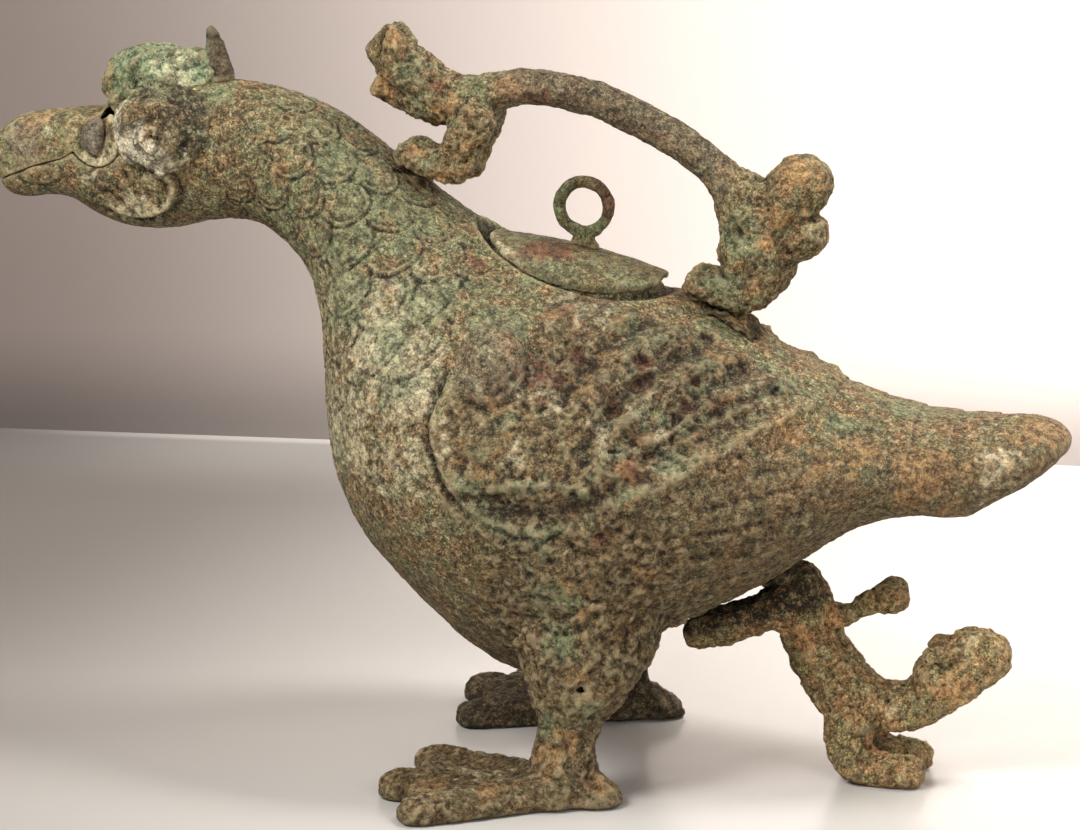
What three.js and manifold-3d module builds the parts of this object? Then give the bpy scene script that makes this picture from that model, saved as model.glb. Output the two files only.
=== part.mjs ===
// A bronze wine vessel in the shape of a bird. Wine is filled in under the lid on its back and poured
// from its bill, whose upper half swings up on a cross pin. The bird looks along -X and +Z is up.
// Sizes are millimetres, and the origin is on the floor under the middle of the bird.
import * as THREE from 'three';
import { mergeVertices } from 'three/addons/utils/BufferGeometryUtils.js';
import Module from 'manifold-3d';

const wasm = await Module();
wasm.setup();

// Overall sizes
const LENGTH = 338;            // bill tip to tail tip
const BODY_WIDTH = 124;        // across the widest part of the body
const WALL = 4.2;              // cast wall of the body
const SEAM = 0.3;              // gap where one casting is joined to another
const WING_RISE = 1.4;         // height of the wings above the sides
const SHOULDER_RISE = 4.4;     // round shoulder above the wing
const FEATHER_RISE = 1.5;      // flight feathers above the wing
const TROUGH_DEPTH = 2.3;      // curved trough under the wing's curl

// Bill and its hinge
const BILL_WALL = 2.4;
const BILL_OPENING = 28;       // degrees that the upper half swings up
const BILL_PLAY = 1;           // degrees left behind the upper half when it is fully open
const KNUCKLE_RADIUS = 8.6;    // round rear end of the upper half
const HINGE_GAP = 0.5;         // running gap around the upper half
const PIN_RADIUS = 2;
const PIN_CLEARANCE = 0.3;
const LUG_RADIUS = 4.8;        // eyes inside the head that carry the pin
const LUG_THICKNESS = 3;
const LUG_REACH = 20;
const LUG_SLOPE = 30;          // degrees that the lugs fall towards the throat
const BOSS_WIDTH = 9;          // oval domed ends of the pin
const BOSS_HEIGHT = 13.4;
const BOSS_RISE = 3;

// Head ornaments
const EYE_LENGTH = 32;
const EYE_HEIGHT = 29;
const EYE_RISE = 8.4;
const EYE_ROOT = 4;            // how far the boss's round form goes into the head
const CREST_WIDTH = 20;
const HORN_BASE = 9;

// Lid
const LID_X = 19.5;            // middle of the lid along the back
const LID_STAND = 3.1;         // top of the lid above the line of the back
const LID_TILT = 11.8;         // degrees that the lid falls towards the tail
const LID_LENGTH = 58;
const LID_WIDTH = 37;
const LID_TAIL_CUT = 26.5;     // the lid's rear end is cut straight here
const LID_THICKNESS = 2.4;
const LID_CROWN = 2.1;         // rise of the lid's middle over its two ends
const LID_FALL = 7.5;          // fall from its middle line to its two sides
const LID_GAP = 0.6;           // around the lid's rim
const MOUTH_LENGTH = 44;       // filling hole under the lid
const MOUTH_WIDTH = 26;
const FLANGE_CLEARANCE = 0.8;
const FLANGE_WALL = 2.4;
const FLANGE_DEPTH = 12;       // below the top of the lid
const RING_RADIUS = 7.7;       // middle of the ring's wire
const RING_WIRE = 1.85;        // radius of the ring's wire
const RING_LIFT = 2.4;         // lid to the underside of the ring
const STEM_WIDTH = 11;
const STEM_DEPTH = 6;

// Legs and feet
const LEG_SPREAD = 96;         // between the two ankles
const RIGHT_LEG_LEAD = 3.5;    // the right leg stands this much further forward on its foot
const ANKLE = 16.6;
const LEG_FLATNESS = 0.9;      // width of the leg against its depth
const LEG_WALL = 3;
const WEB_HEIGHT = 7;
const DRAIN_SIDE = 3.4;        // side of the diamond-shaped hole in the left leg

// Beasts
const GRIP_THICKNESS = 11.6;   // arched back of the handle beast
const GRIP_WIDTH = 13;
const HANDLE_STANCE = 14;      // between the left and right paws on the bird's back
const SUPPORT_STANCE = 19;     // between the forepaws on the floor
const SUPPORT_HOLD = 13;       // between the hind feet against the belly

// Fineness of the round forms
const BODY_RINGS = 60;
const BODY_POINTS = 36;
const HOLLOW_RINGS = 24;
const HOLLOW_POINTS = 16;
const LIMB_SIDES = 8;
const LEG_SIDES = 14;
const CREST_SIDES = 12;
const SOLDER_SIDES = 10;
const BALL_SIDES = 14;
const ROD_SIDES = 24;
const WIRE_SIDES = 8;
const RING_STEPS = 24;
const LID_STEPS = 22;
const DOME_SIDES = 40;
const OUTLINE_STEPS = 5;       // in each curve of an outline
const LOOKUP_STEPS = 600;      // along the body when a height or a width is looked up

// The outlines below are drawn for a bird 338 mm long and follow LENGTH.
const stretch = LENGTH / 338;
const at = (x, y, z) => new THREE.Vector3(x, y, z).multiplyScalar(stretch);
const { degToRad, lerp, smoothstep } = THREE.MathUtils;

// Closed surface through equal rings of points, with a fan over each end.
function skin(rings) {
  const count = rings[0].length;
  const points = rings.flat();
  const faces = [];
  for (let i = 0; i + 1 < rings.length; i += 1) {
    for (let j = 0; j < count; j += 1) {
      const a = i * count + j;
      const b = i * count + (j + 1) % count;
      faces.push(a, b, b + count, a, b + count, a + count);
    }
  }
  const middle = (ring) => ring.reduce((sum, p) => sum.add(p), new THREE.Vector3()).divideScalar(count);
  const last = (rings.length - 1) * count;
  points.push(middle(rings[0]), middle(rings[rings.length - 1]));
  for (let j = 0; j < count; j += 1) {
    const next = (j + 1) % count;
    faces.push(points.length - 2, next, j, points.length - 1, last + j, last + next);
  }
  const geometry = new THREE.BufferGeometry().setFromPoints(points);
  geometry.setIndex(faces);
  return geometry;
}

function solid(geometry) {
  geometry.deleteAttribute('normal');
  geometry.deleteAttribute('uv');
  const merged = mergeVertices(geometry, 1e-4);
  const vertProperties = new Float32Array(merged.attributes.position.array);
  const triVerts = new Uint32Array(merged.index.array);
  return new wasm.Manifold(new wasm.Mesh({ numProp: 3, vertProperties, triVerts }));
}

const join = (...solids) => solids.reduce((a, b) => a.add(b));

// Round limb with domed ends through rows of x, y, z, radius in its bend and radius across it.
// The rows are drawn sizes, and offset is a real size that moves the whole limb.
function limb(rows, { offset = new THREE.Vector3(), grow = 0, sides = LIMB_SIDES, steps = 2 } = {}) {
  const path = new THREE.CatmullRomCurve3(rows.map(([x, y, z]) => at(x, y, z)));
  const girth = new THREE.CatmullRomCurve3(rows.map(([, , , deep, wide = deep]) => at(deep, wide, 0)));
  const ring = (t, slide, shrink) => {
    const along = path.getTangent(t);
    const across = new THREE.Vector3(0, 1, 0).addScaledVector(along, -along.y).normalize();
    const over = across.clone().cross(along);
    const size = girth.getPoint(t).addScalar(grow);
    const centre = path.getPoint(t).add(offset).addScaledVector(along, slide * Math.min(size.x, size.y));
    return Array.from({ length: sides }, (_, j) => {
      const turn = 2 * Math.PI * j / sides;
      return centre.clone()
        .addScaledVector(over, size.x * shrink * Math.cos(turn))
        .addScaledVector(across, size.y * shrink * Math.sin(turn));
    });
  };
  const dome = [62, 28].map(degToRad);
  const count = (rows.length - 1) * steps;
  const rings = dome.map((turn) => ring(0, -Math.sin(turn), Math.cos(turn)));
  for (let i = 0; i <= count; i += 1) {
    rings.push(ring(i / count, 0, 1));
  }
  rings.push(...dome.reverse().map((turn) => ring(1, Math.sin(turn), Math.cos(turn))));
  return solid(skin(rings));
}

// Straight plate of a flat shape that stands on the XY plane.
const plate = (shape, depth, curveSegments = OUTLINE_STEPS) => (
  new THREE.ExtrudeGeometry(shape, { depth, curveSegments, bevelEnabled: false }));

// Straight prism of a shape drawn in the XZ plane, between two places along Y.
function prism(shape, yLow, yHigh) {
  return solid(plate(shape, yHigh - yLow).rotateX(Math.PI / 2).translate(0, yHigh, 0));
}

function ball(centre, radii) {
  const geometry = new THREE.SphereGeometry(1, BALL_SIDES, Math.ceil(0.6 * BALL_SIDES));
  return solid(geometry.scale(radii.x, radii.y, radii.z).translate(centre.x, centre.y, centre.z));
}

// Body outline: x and z of the back, x and z of the belly, share of the half-width, and how square the
// upper and lower half of the section are (2 is an ellipse).
const SECTIONS = [
  [-169, 187, -168.8, 181, 0.05, 2.2, 2.2],
  [-168, 189.8, -167.2, 176.6, 0.1, 2.4, 2.2],
  [-165, 193.4, -164.3, 172, 0.15, 2.6, 2.3],
  [-159, 196.7, -158.5, 170.6, 0.187, 2.8, 2.4],
  [-150, 198.2, -150, 171.8, 0.212, 3, 2.4],
  [-141, 199.4, -142, 170.9, 0.24, 3, 2.4],
  [-135, 199.6, -136, 167.4, 0.258, 3, 2.4],
  [-131, 200.6, -131, 165, 0.27, 3, 2.3],
  [-126, 204, -125, 163, 0.292, 2.6, 2.2],
  [-116, 207, -117, 162.3, 0.325, 2.3, 2.1],
  [-104, 208.8, -107, 163.2, 0.34, 2.2, 2.1],
  [-90, 209.5, -96, 165.8, 0.34, 2.1, 2.1],
  [-76, 207.3, -85, 166.4, 0.36, 2.1, 2.1],
  [-63.5, 203, -74.5, 161.4, 0.39, 2.1, 2.1],
  [-50.8, 195.2, -66, 152.6, 0.44, 2.1, 2.1],
  [-38.2, 185.6, -61.3, 141.6, 0.52, 2, 2.1],
  [-25.6, 176, -59.4, 125.6, 0.63, 1.9, 2.1],
  [-13, 168, -58.4, 105, 0.75, 1.8, 2.1],
  [-0.5, 163, -54.4, 85.4, 0.86, 1.7, 2.1],
  [12, 160.4, -44.8, 68, 0.94, 1.62, 2.1],
  [26, 156.9, -28.4, 51, 0.985, 1.6, 2.1],
  [40, 152.7, -8, 34, 1, 1.6, 2.1],
  [54, 147.6, 10.5, 28, 0.985, 1.62, 2.1],
  [68, 141, 32, 36.7, 0.93, 1.66, 2.1],
  [80, 134, 54, 48.4, 0.85, 1.7, 2.1],
  [92, 127.8, 74, 58.6, 0.75, 1.8, 2.15],
  [105, 121.8, 92, 70.8, 0.65, 1.8, 2.3],
  [118, 117.6, 108, 81.4, 0.565, 1.8, 2.5],
  [130, 115.7, 124, 86, 0.5, 1.8, 3],
  [141.5, 115.2, 139, 85.4, 0.44, 1.8, 3.2],
  [152, 115.2, 150.5, 91, 0.38, 1.8, 3],
  [160.5, 114.6, 160, 97, 0.3, 1.9, 2.6],
  [166.5, 112, 166.5, 102.4, 0.18, 2, 2.2],
  [169, 109.6, 169, 106.6, 0.06, 2, 2],
];
const backLine = new THREE.CatmullRomCurve3(SECTIONS.map(([x, z]) => at(x, 0, z)));
const bellyLine = new THREE.CatmullRomCurve3(SECTIONS.map(([, , x, z]) => at(x, 0, z)));
const girthLine = new THREE.CatmullRomCurve3(
  SECTIONS.map(([, , , , share, above, below]) => new THREE.Vector3(share * BODY_WIDTH / 2, above, below)),
);
const sectionAt = (index) => index / (SECTIONS.length - 1);

function section(t, inset, points) {
  const back = backLine.getPoint(t);
  const centre = back.clone().add(bellyLine.getPoint(t)).multiplyScalar(0.5);
  const up = back.sub(centre);
  const high = up.length() - inset;
  const girth = girthLine.getPoint(t);
  const wide = girth.x - inset;
  up.normalize();
  return Array.from({ length: points }, (_, j) => {
    const turn = 2 * Math.PI * j / points;
    const power = 2 / (Math.cos(turn) > 0 ? girth.y : girth.z);
    const part = (share) => Math.sign(share) * Math.abs(share) ** power;
    const point = centre.clone().addScaledVector(up, high * part(Math.cos(turn)));
    return point.setY(-wide * part(Math.sin(turn)));
  });
}

// The body's outer form, made larger all over by grow.
function bodyForm(grow) {
  const rings = Array.from({ length: BODY_RINGS }, (_, i) => section(i / (BODY_RINGS - 1), 0, BODY_POINTS));
  const geometry = skin(rings);
  geometry.computeVertexNormals();
  const { position, normal } = geometry.attributes;
  for (let i = 0; i < position.count; i += 1) {
    const point = new THREE.Vector3().fromBufferAttribute(position, i);
    point.addScaledVector(new THREE.Vector3().fromBufferAttribute(normal, i), grow);
    position.setXYZ(i, point.x, point.y, point.z);
  }
  return solid(geometry);
}

// Hollow of the body, from the bill to the root of the tail.
function bodyHollow() {
  const first = sectionAt(3);
  const last = sectionAt(27);
  const billEnd = sectionAt(6);
  const headEnd = sectionAt(9);
  return solid(skin(Array.from({ length: HOLLOW_RINGS }, (_, i) => {
    const t = lerp(first, last, i / (HOLLOW_RINGS - 1));
    const inset = lerp(BILL_WALL, WALL, smoothstep(t, billEnd, headEnd));
    return section(t, inset, HOLLOW_POINTS);
  })));
}

// Height of the back above x, and how far the side of the body is from the middle at x and z.
function backAt(x) {
  const points = backLine.getPoints(LOOKUP_STEPS);
  const i = points.findIndex((point) => point.x > x);
  const share = (x - points[i - 1].x) / (points[i].x - points[i - 1].x);
  return lerp(points[i - 1].z, points[i].z, share);
}

function sideAt(x, z) {
  const spot = new THREE.Vector3(x, 0, z);
  for (let i = 0; i <= LOOKUP_STEPS; i += 1) {
    const t = i / LOOKUP_STEPS;
    const back = backLine.getPoint(t);
    const belly = bellyLine.getPoint(t);
    const up = back.clone().sub(belly);
    const from = spot.clone().sub(belly);
    if (up.z * from.x - up.x * from.z <= 0) {
      const girth = girthLine.getPoint(t);
      const share = 2 * from.dot(up) / up.lengthSq() - 1;
      const power = share > 0 ? girth.y : girth.z;
      return girth.x * (1 - Math.abs(share) ** power) ** (1 / power);
    }
  }
  return 0;
}

const outer = bodyForm(0);
const outerSeam = bodyForm(SEAM);
const hollow = bodyHollow();

// Hinge of the bill
const pivot = at(-131, 0, 192);
const pivotSide = sideAt(pivot.x, pivot.z);
const knuckle = KNUCKLE_RADIUS * stretch;
const lugOuter = pivotSide - BILL_WALL - HINGE_GAP - LUG_THICKNESS / 3;
const lugInner = lugOuter - LUG_THICKNESS;
const crossRod = (radius, half) => {
  const geometry = new THREE.CylinderGeometry(radius, radius, 2 * half, ROD_SIDES);
  return solid(geometry.translate(pivot.x, 0, pivot.z));
};
const fromPivot = (degrees, reach) => [
  pivot.x + reach * Math.cos(degToRad(degrees)),
  pivot.z + reach * Math.sin(degToRad(degrees)),
];

// Room of the bill's upper half: the round knuckle and all that lies in front of its rear edge, which
// leaves the pivot at rearTurn degrees, above the mouth line.
const UPRIGHT = 90;
const MOUTH_LINE = [[-143, 185.3], [-152, 182.8], [-163, 178.5], [-176, 173.5]];
function billRoom(gap, rearTurn) {
  const mouth = MOUTH_LINE.map(([x, z]) => new THREE.Vector2(x * stretch, z * stretch - gap));
  const front = mouth[mouth.length - 1];
  const reach = LENGTH / 6;
  const side = new THREE.Shape();
  side.moveTo(pivot.x, pivot.z);
  side.lineTo(...fromPivot(rearTurn, reach));
  side.lineTo(front.x, pivot.z + reach);
  side.lineTo(front.x, front.y);
  side.splineThru(mouth.slice(0, -1).reverse());
  return prism(side, -BODY_WIDTH / 2, BODY_WIDTH / 2).add(crossRod(knuckle + gap, BODY_WIDTH / 2));
}

const pinHole = crossRod(PIN_RADIUS + PIN_CLEARANCE, BODY_WIDTH / 2);

function upperBeak() {
  const cheek = lugOuter + HINGE_GAP;
  const behindTurns = [195, 270, 360, 440];
  const behind = new THREE.Shape();
  behind.moveTo(pivot.x, pivot.z);
  for (const turn of behindTurns) {
    behind.lineTo(...fromPivot(turn, 2 * knuckle));
  }
  return outer.intersect(billRoom(0, UPRIGHT + BILL_OPENING + BILL_PLAY))
    .subtract(hollow)
    .subtract(crossRod(LUG_RADIUS + HINGE_GAP, cheek))
    .subtract(prism(behind, -cheek, cheek))
    .subtract(pinHole);
}

function beakPin() {
  const root = 1;
  const end = pivotSide - root;
  const radii = new THREE.Vector3(BOSS_WIDTH / 2, BOSS_RISE + root, BOSS_HEIGHT / 2);
  const domes = join(...[-1, 1].map((side) => ball(pivot.clone().setY(side * end), radii)));
  return domes.subtract(outerSeam).add(crossRod(PIN_RADIUS, pivotSide + BOSS_RISE / 2));
}

// One eye for the pin: a bar with a round front end, bridged to the head's side wall at its rear end.
function pinLug(side) {
  const bar = new THREE.Shape();
  const square = UPRIGHT - LUG_SLOPE;
  const corner = (reach, rise) => [
    pivot.x + reach * Math.cos(degToRad(LUG_SLOPE)) + rise * Math.cos(degToRad(square)),
    pivot.z - reach * Math.sin(degToRad(LUG_SLOPE)) + rise * Math.sin(degToRad(square)),
  ];
  bar.moveTo(...corner(0, LUG_RADIUS));
  bar.absarc(pivot.x, pivot.z, LUG_RADIUS, degToRad(square), degToRad(square) + Math.PI);
  bar.lineTo(...corner(LUG_REACH, -LUG_RADIUS));
  bar.lineTo(...corner(LUG_REACH, LUG_RADIUS));
  const bridge = new THREE.Shape();
  const start = knuckle + 2 * HINGE_GAP;
  bridge.moveTo(...corner(start, LUG_RADIUS));
  bridge.lineTo(...corner(start, -LUG_RADIUS));
  bridge.lineTo(...corner(LUG_REACH, -LUG_RADIUS));
  bridge.lineTo(...corner(LUG_REACH, LUG_RADIUS));
  const wall = sideAt(...corner(LUG_REACH, 0)) - WALL / 2;
  const reach = (low, high) => (side > 0 ? [low, high] : [-high, -low]);
  return prism(bar, ...reach(lugInner, lugOuter)).add(prism(bridge, ...reach(lugInner, wall)));
}

// Wing outline on the side of the body: the round shoulder curl, then the long flight feathers.
function wings() {
  const curl = at(12.7, 0, 108);
  const curlRadius = 29 * stretch;
  const outline = new THREE.Shape();
  const to = (...places) => places.map(([x, z]) => new THREE.Vector2(x * stretch, z * stretch));
  outline.absarc(curl.x, curl.z, curlRadius, degToRad(140), degToRad(325));
  outline.splineThru(to([58, 100], [82, 114], [108, 127]));
  outline.splineThru(to([90, 137], [60, 145], [26, 147], [-2, 144]));
  const raised = bodyForm(WING_RISE);
  return join(...[[-BODY_WIDTH, -BODY_WIDTH / 6], [BODY_WIDTH / 6, BODY_WIDTH]].map(([low, high]) => (
    raised.intersect(prism(outline, low, high)))));
}

// Forms on each wing: the round shoulder, the ridges of the flight feathers, and the trough of the curl.
const FEATHERS = [
  [[26, 117], [31, 125], [38, 132], [46, 136.5], [53, 138]],
  [[37, 111], [44, 119.5], [53, 126.5], [62, 130.5], [71, 131]],
  [[43, 104.5], [54, 114], [68, 121.5], [83, 124]],
  [[33, 88.5], [46, 96], [62, 104.5], [78, 113], [91, 119.5]],
];
const TROUGH = [[-2, 96], [7, 93.2], [17, 92.6], [27, 93], [35, 94.6]];
// Rows of a limb that follows the side of the body, with its middle that far outside it.
const onSide = (line, side, out, radius) => line.map(([x, z]) => (
  [x, side * (sideAt(x * stretch, z * stretch) + out) / stretch, z, radius]));

function wingForms(side) {
  const feather = 5;
  const shoulder = at(2.4, 0, 133.2);
  const radii = at(10.6, 8, 10.6);
  shoulder.y = side * (sideAt(shoulder.x, shoulder.z) + WING_RISE + SHOULDER_RISE - radii.y);
  const ridges = FEATHERS.map((line) => (
    limb(onSide(line, side, WING_RISE + FEATHER_RISE - feather * stretch, feather), { steps: 1 })));
  return join(ball(shoulder, radii), ...ridges);
}

function wingTrough(side) {
  const trough = 5.6;
  return limb(onSide(TROUGH, side, WING_RISE - TROUGH_DEPTH + trough * stretch, trough), { steps: 1 });
}

// Lid frame: its origin is the top of the lid, x runs along the back and z stands square to the lid.
const lidPlace = new THREE.Vector3(LID_X * stretch, 0, backAt(LID_X * stretch) + LID_STAND);
const lidFrame = new THREE.Matrix4().makeRotationY(degToRad(LID_TILT)).setPosition(lidPlace);
const lidReach = LID_WIDTH;

function lidPrism(length, width, low, high, tailCut = length) {
  const oval = new THREE.Shape();
  const turn = Math.acos(Math.min(2 * tailCut / length, 1));
  oval.absellipse(0, 0, length / 2, width / 2, turn, 2 * Math.PI - turn);
  return solid(plate(oval, high - low, LID_STEPS).translate(0, 0, low).applyMatrix4(lidFrame));
}

// Egg-shaped form whose top is the lid's upper face, made larger all over by grow.
function lidDome(grow) {
  const radius = (half, fall) => half / Math.sqrt(1 - (1 - fall / lidReach) ** 2);
  const long = radius(LID_LENGTH / 2, LID_CROWN);
  const wide = radius(LID_WIDTH / 2, LID_FALL);
  const geometry = new THREE.SphereGeometry(1, DOME_SIDES, Math.ceil(0.45 * DOME_SIDES));
  geometry.scale(long + grow, wide + grow, lidReach + grow).translate(0, 0, -lidReach);
  return solid(geometry.applyMatrix4(lidFrame));
}

function bodyShell() {
  const rim = 2 * LID_GAP;
  const seat = lidPrism(LID_LENGTH + rim, LID_WIDTH + rim, -lidReach / 2, lidReach, LID_TAIL_CUT + LID_GAP)
    .subtract(lidDome(-LID_THICKNESS - SEAM));
  return join(outer, wings(), wingForms(-1), wingForms(1))
    .subtract(wingTrough(-1))
    .subtract(wingTrough(1))
    .subtract(billRoom(HINGE_GAP, UPRIGHT - 2 * BILL_PLAY))
    .subtract(hollow)
    .add(join(pinLug(-1), pinLug(1)).subtract(pinHole))
    .subtract(seat)
    .subtract(lidPrism(MOUTH_LENGTH, MOUTH_WIDTH, -lidReach, lidReach));
}

function lidPlate() {
  const plate = lidPrism(LID_LENGTH, LID_WIDTH, -lidReach / 2, lidReach, LID_TAIL_CUT)
    .intersect(lidDome(0))
    .subtract(lidDome(-LID_THICKNESS));
  const length = MOUTH_LENGTH - 2 * FLANGE_CLEARANCE;
  const width = MOUTH_WIDTH - 2 * FLANGE_CLEARANCE;
  const flange = lidPrism(length, width, -FLANGE_DEPTH, lidReach)
    .subtract(lidPrism(length - 2 * FLANGE_WALL, width - 2 * FLANGE_WALL, -lidReach, 2 * lidReach));
  return plate.add(flange.intersect(lidDome(-LID_THICKNESS / 2)));
}

function lidRing() {
  const wireLow = lidPlace.z + RING_LIFT + RING_WIRE;
  const ring = new THREE.TorusGeometry(RING_RADIUS, RING_WIRE, WIRE_SIDES, RING_STEPS);
  ring.rotateX(Math.PI / 2).translate(lidPlace.x, 0, wireLow + RING_RADIUS);
  const height = RING_LIFT + 2 * RING_WIRE;
  const stem = new THREE.CylinderGeometry(1.2 * RING_WIRE, STEM_WIDTH / 2, height, RING_STEPS / 2);
  stem.rotateX(Math.PI / 2).scale(1, STEM_DEPTH / STEM_WIDTH, 1);
  stem.translate(lidPlace.x, 0, wireLow - height / 2);
  return solid(ring).add(solid(stem)).subtract(lidDome(SEAM));
}

// Head ornaments
const horn = (grow) => limb([
  [-95.8, 0, 205, HORN_BASE / 2 / stretch],
  [-96, 0, 212, 4.3],
  [-96.8, 0, 219, 3],
  [-98.2, 0, 224, 1.3],
], { grow });

function eyeForm(side, grow) {
  const centre = at(-108.6, 0, 195.2);
  centre.y = side * (sideAt(centre.x, centre.z) - EYE_ROOT);
  return ball(centre, new THREE.Vector3(EYE_LENGTH / 2, EYE_RISE + EYE_ROOT, EYE_HEIGHT / 2).addScalar(grow));
}
const eyeBoss = (side) => eyeForm(side, 0).subtract(outerSeam);

function crest() {
  const half = CREST_WIDTH / 2 / stretch;
  const comb = limb([
    [-126.5, 0, 208.6, 7.4, 0.8 * half],
    [-119.5, 0, 211, 9.2, half],
    [-110, 0, 210.8, 8.8, half],
    [-103.5, 0, 211, 7.8, 0.9 * half],
  ], { sides: CREST_SIDES });
  const foot = limb([[-125, 0, 202.6, 5.5, 0.95 * half], [-113, 0, 204.6, 6, 1.1 * half],
    [-103, 0, 205.4, 6, half]], { sides: CREST_SIDES, steps: 1 });
  const besides = join(outerSeam, horn(SEAM), eyeForm(-1, SEAM), eyeForm(1, SEAM));
  return join(comb, foot).subtract(besides);
}

const aboveFloor = solid(new THREE.BoxGeometry(LENGTH, LENGTH, LENGTH).translate(0, 0, LENGTH / 2));

// Legs: rows are drawn from the ankle's own middle plane, outwards positive.
const LEG = [
  [24, 0.5, 4, 0.3],
  [24, 0, 16, 0],
  [27, -1.5, 32, 3],
  [28.5, -6.5, 44, 9.2],
  [29, -13.5, 60, 15.5],
  [29, -18, 78, 14],
];
const TOES = [
  [[24, 0.5, 2, 8.8, 8.4], [-4, 3.5, 2, 7.6, 8.2], [-25.6, 6.3, 2, 7.2, 8]],
  [[22, -3, 2, 8.2, 7.4], [0, -13, 2, 7.4, 8], [-21.8, -22.6, 2, 6.8, 7.6]],
  [[22, 4, 2, 8.2, 7.4], [2, 18, 2, 7.4, 8], [-14, 29.6, 2, 6.8, 7.6]],
  [[28, 0.5, 2, 8, 7], [37.4, 1, 1.6, 5.8, 5.4]],
];
const WEB_TIPS = [[30, -6], [-22, -23], [-21, -9], [-26, 6], [-17, 19], [-14.5, 30], [30, 7]];
const outwards = (rows, side) => rows.map(([x, y, ...rest]) => [x, side * y, ...rest]);
const footOffset = (side) => new THREE.Vector3(0, side * LEG_SPREAD / 2, 0);
const legOffset = (side) => footOffset(side).setX(side > 0 ? -RIGHT_LEG_LEAD : 0);

function legForm(side, first, inset) {
  const rows = LEG.slice(first).map(([x, y, z, swell]) => {
    const radius = ANKLE / 2 / stretch + swell;
    const across = LEG_FLATNESS * radius;
    return [x, y, z, radius - inset / stretch, across - inset / stretch];
  });
  return limb(outwards(rows, side), { offset: legOffset(side), sides: LEG_SIDES });
}

function leg(side) {
  const [heel, inner, innerDip, middle, outerDip, far, rear] = WEB_TIPS.map(([x, y]) => (
    [x * stretch, side * (LEG_SPREAD / 2 + y * stretch)]));
  const web = new THREE.Shape();
  web.moveTo(...heel);
  web.lineTo(...inner);
  web.quadraticCurveTo(...innerDip, ...middle);
  web.quadraticCurveTo(...outerDip, ...far);
  web.lineTo(...rear);
  const toes = TOES.map((rows) => limb(outwards(rows, side), { offset: footOffset(side) }));
  return join(legForm(side, 0, 0), solid(plate(web, WEB_HEIGHT)), ...toes)
    .intersect(aboveFloor)
    .subtract(outerSeam)
    .subtract(legForm(side, 1, LEG_WALL));
}

const legCore = (side) => legForm(side, 1, LEG_WALL + SEAM).subtract(outerSeam);

function drainHole() {
  const spot = at(30.8, 0, 37);
  const depth = 2 * LEG_WALL + ANKLE / 2;
  const cut = new THREE.BoxGeometry(DRAIN_SIDE, depth, DRAIN_SIDE).rotateY(Math.PI / 4);
  return solid(cut.translate(spot.x, -LEG_SPREAD / 2 - ANKLE / 2 - LEG_WALL, spot.z));
}

// Handle beast: head and forepaws towards the bird's neck, hindquarters and curled tail behind.
function handleBeast(grow) {
  const deep = GRIP_THICKNESS / 2 / stretch;
  const wide = GRIP_WIDTH / 2 / stretch;
  const half = HANDLE_STANCE / 2 / stretch;
  const middle = [
    [[-13, 0, 206.5, deep + 1, wide + 1], [0, 0, 210, deep, wide], [12, 0, 209, deep, wide],
      [24, 0, 206.4, deep, wide], [37, 0, 200.8, deep, wide], [49, 0, 194.5, deep, wide],
      [60, 0, 186.5, deep, wide], [68, 0, 178, deep + 1.5, wide + 1.5]],
    [[-14, 0, 204, 7.6, 9], [-26, 0, 207.4, 8.2, 9.2], [-36, 0, 214.6, 8.6, 9.4], [-41, 0, 219.4, 7.2, 8.4]],
    [[-26, 0, 202.6, 6, 7], [-36, 0, 205.2, 4.6, 5.6], [-43.6, 0, 208, 3.8, 4.6]],
    [[68, 0, 178, 9, 10], [73, 0, 167, 12, 11.5], [75, 0, 158, 10.4, 11]],
    [[77, 0, 171, 9, 9.4], [86.6, 0, 182.6, 10.2, 10]],
    [[78, 0, 165, 9, 10], [88, 0, 167, 7.2, 8.4]],
  ];
  const pair = [-half, half].flatMap((y) => [
    [[-38.5, 0.8 * y, 221, 4.6, 4], [-40.4, 0.9 * y, 226.8, 3, 2.8]],
    [[-13, 0.8 * y, 201, 7.5, 6.5], [-17, y, 192, 6.6, 5.6], [-18, y, 186.5, 6.2, 5.4]],
    [[-18, y, 185.6, 5.4], [-27, y, 186, 4.6], [-34.2, y, 189, 4.5]],
    [[72.6, 0.9 * y, 163.5, 11.6, 6.5], [73.4, y, 151, 7.4, 6]],
    [[70, y, 149.6, 6.2, 5.6], [62, y, 150.4, 5.2], [55, y, 152.2, 4.4]],
  ]);
  return join(...[...middle, ...pair].map((rows) => limb(rows, { grow, steps: 1 })));
}

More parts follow.
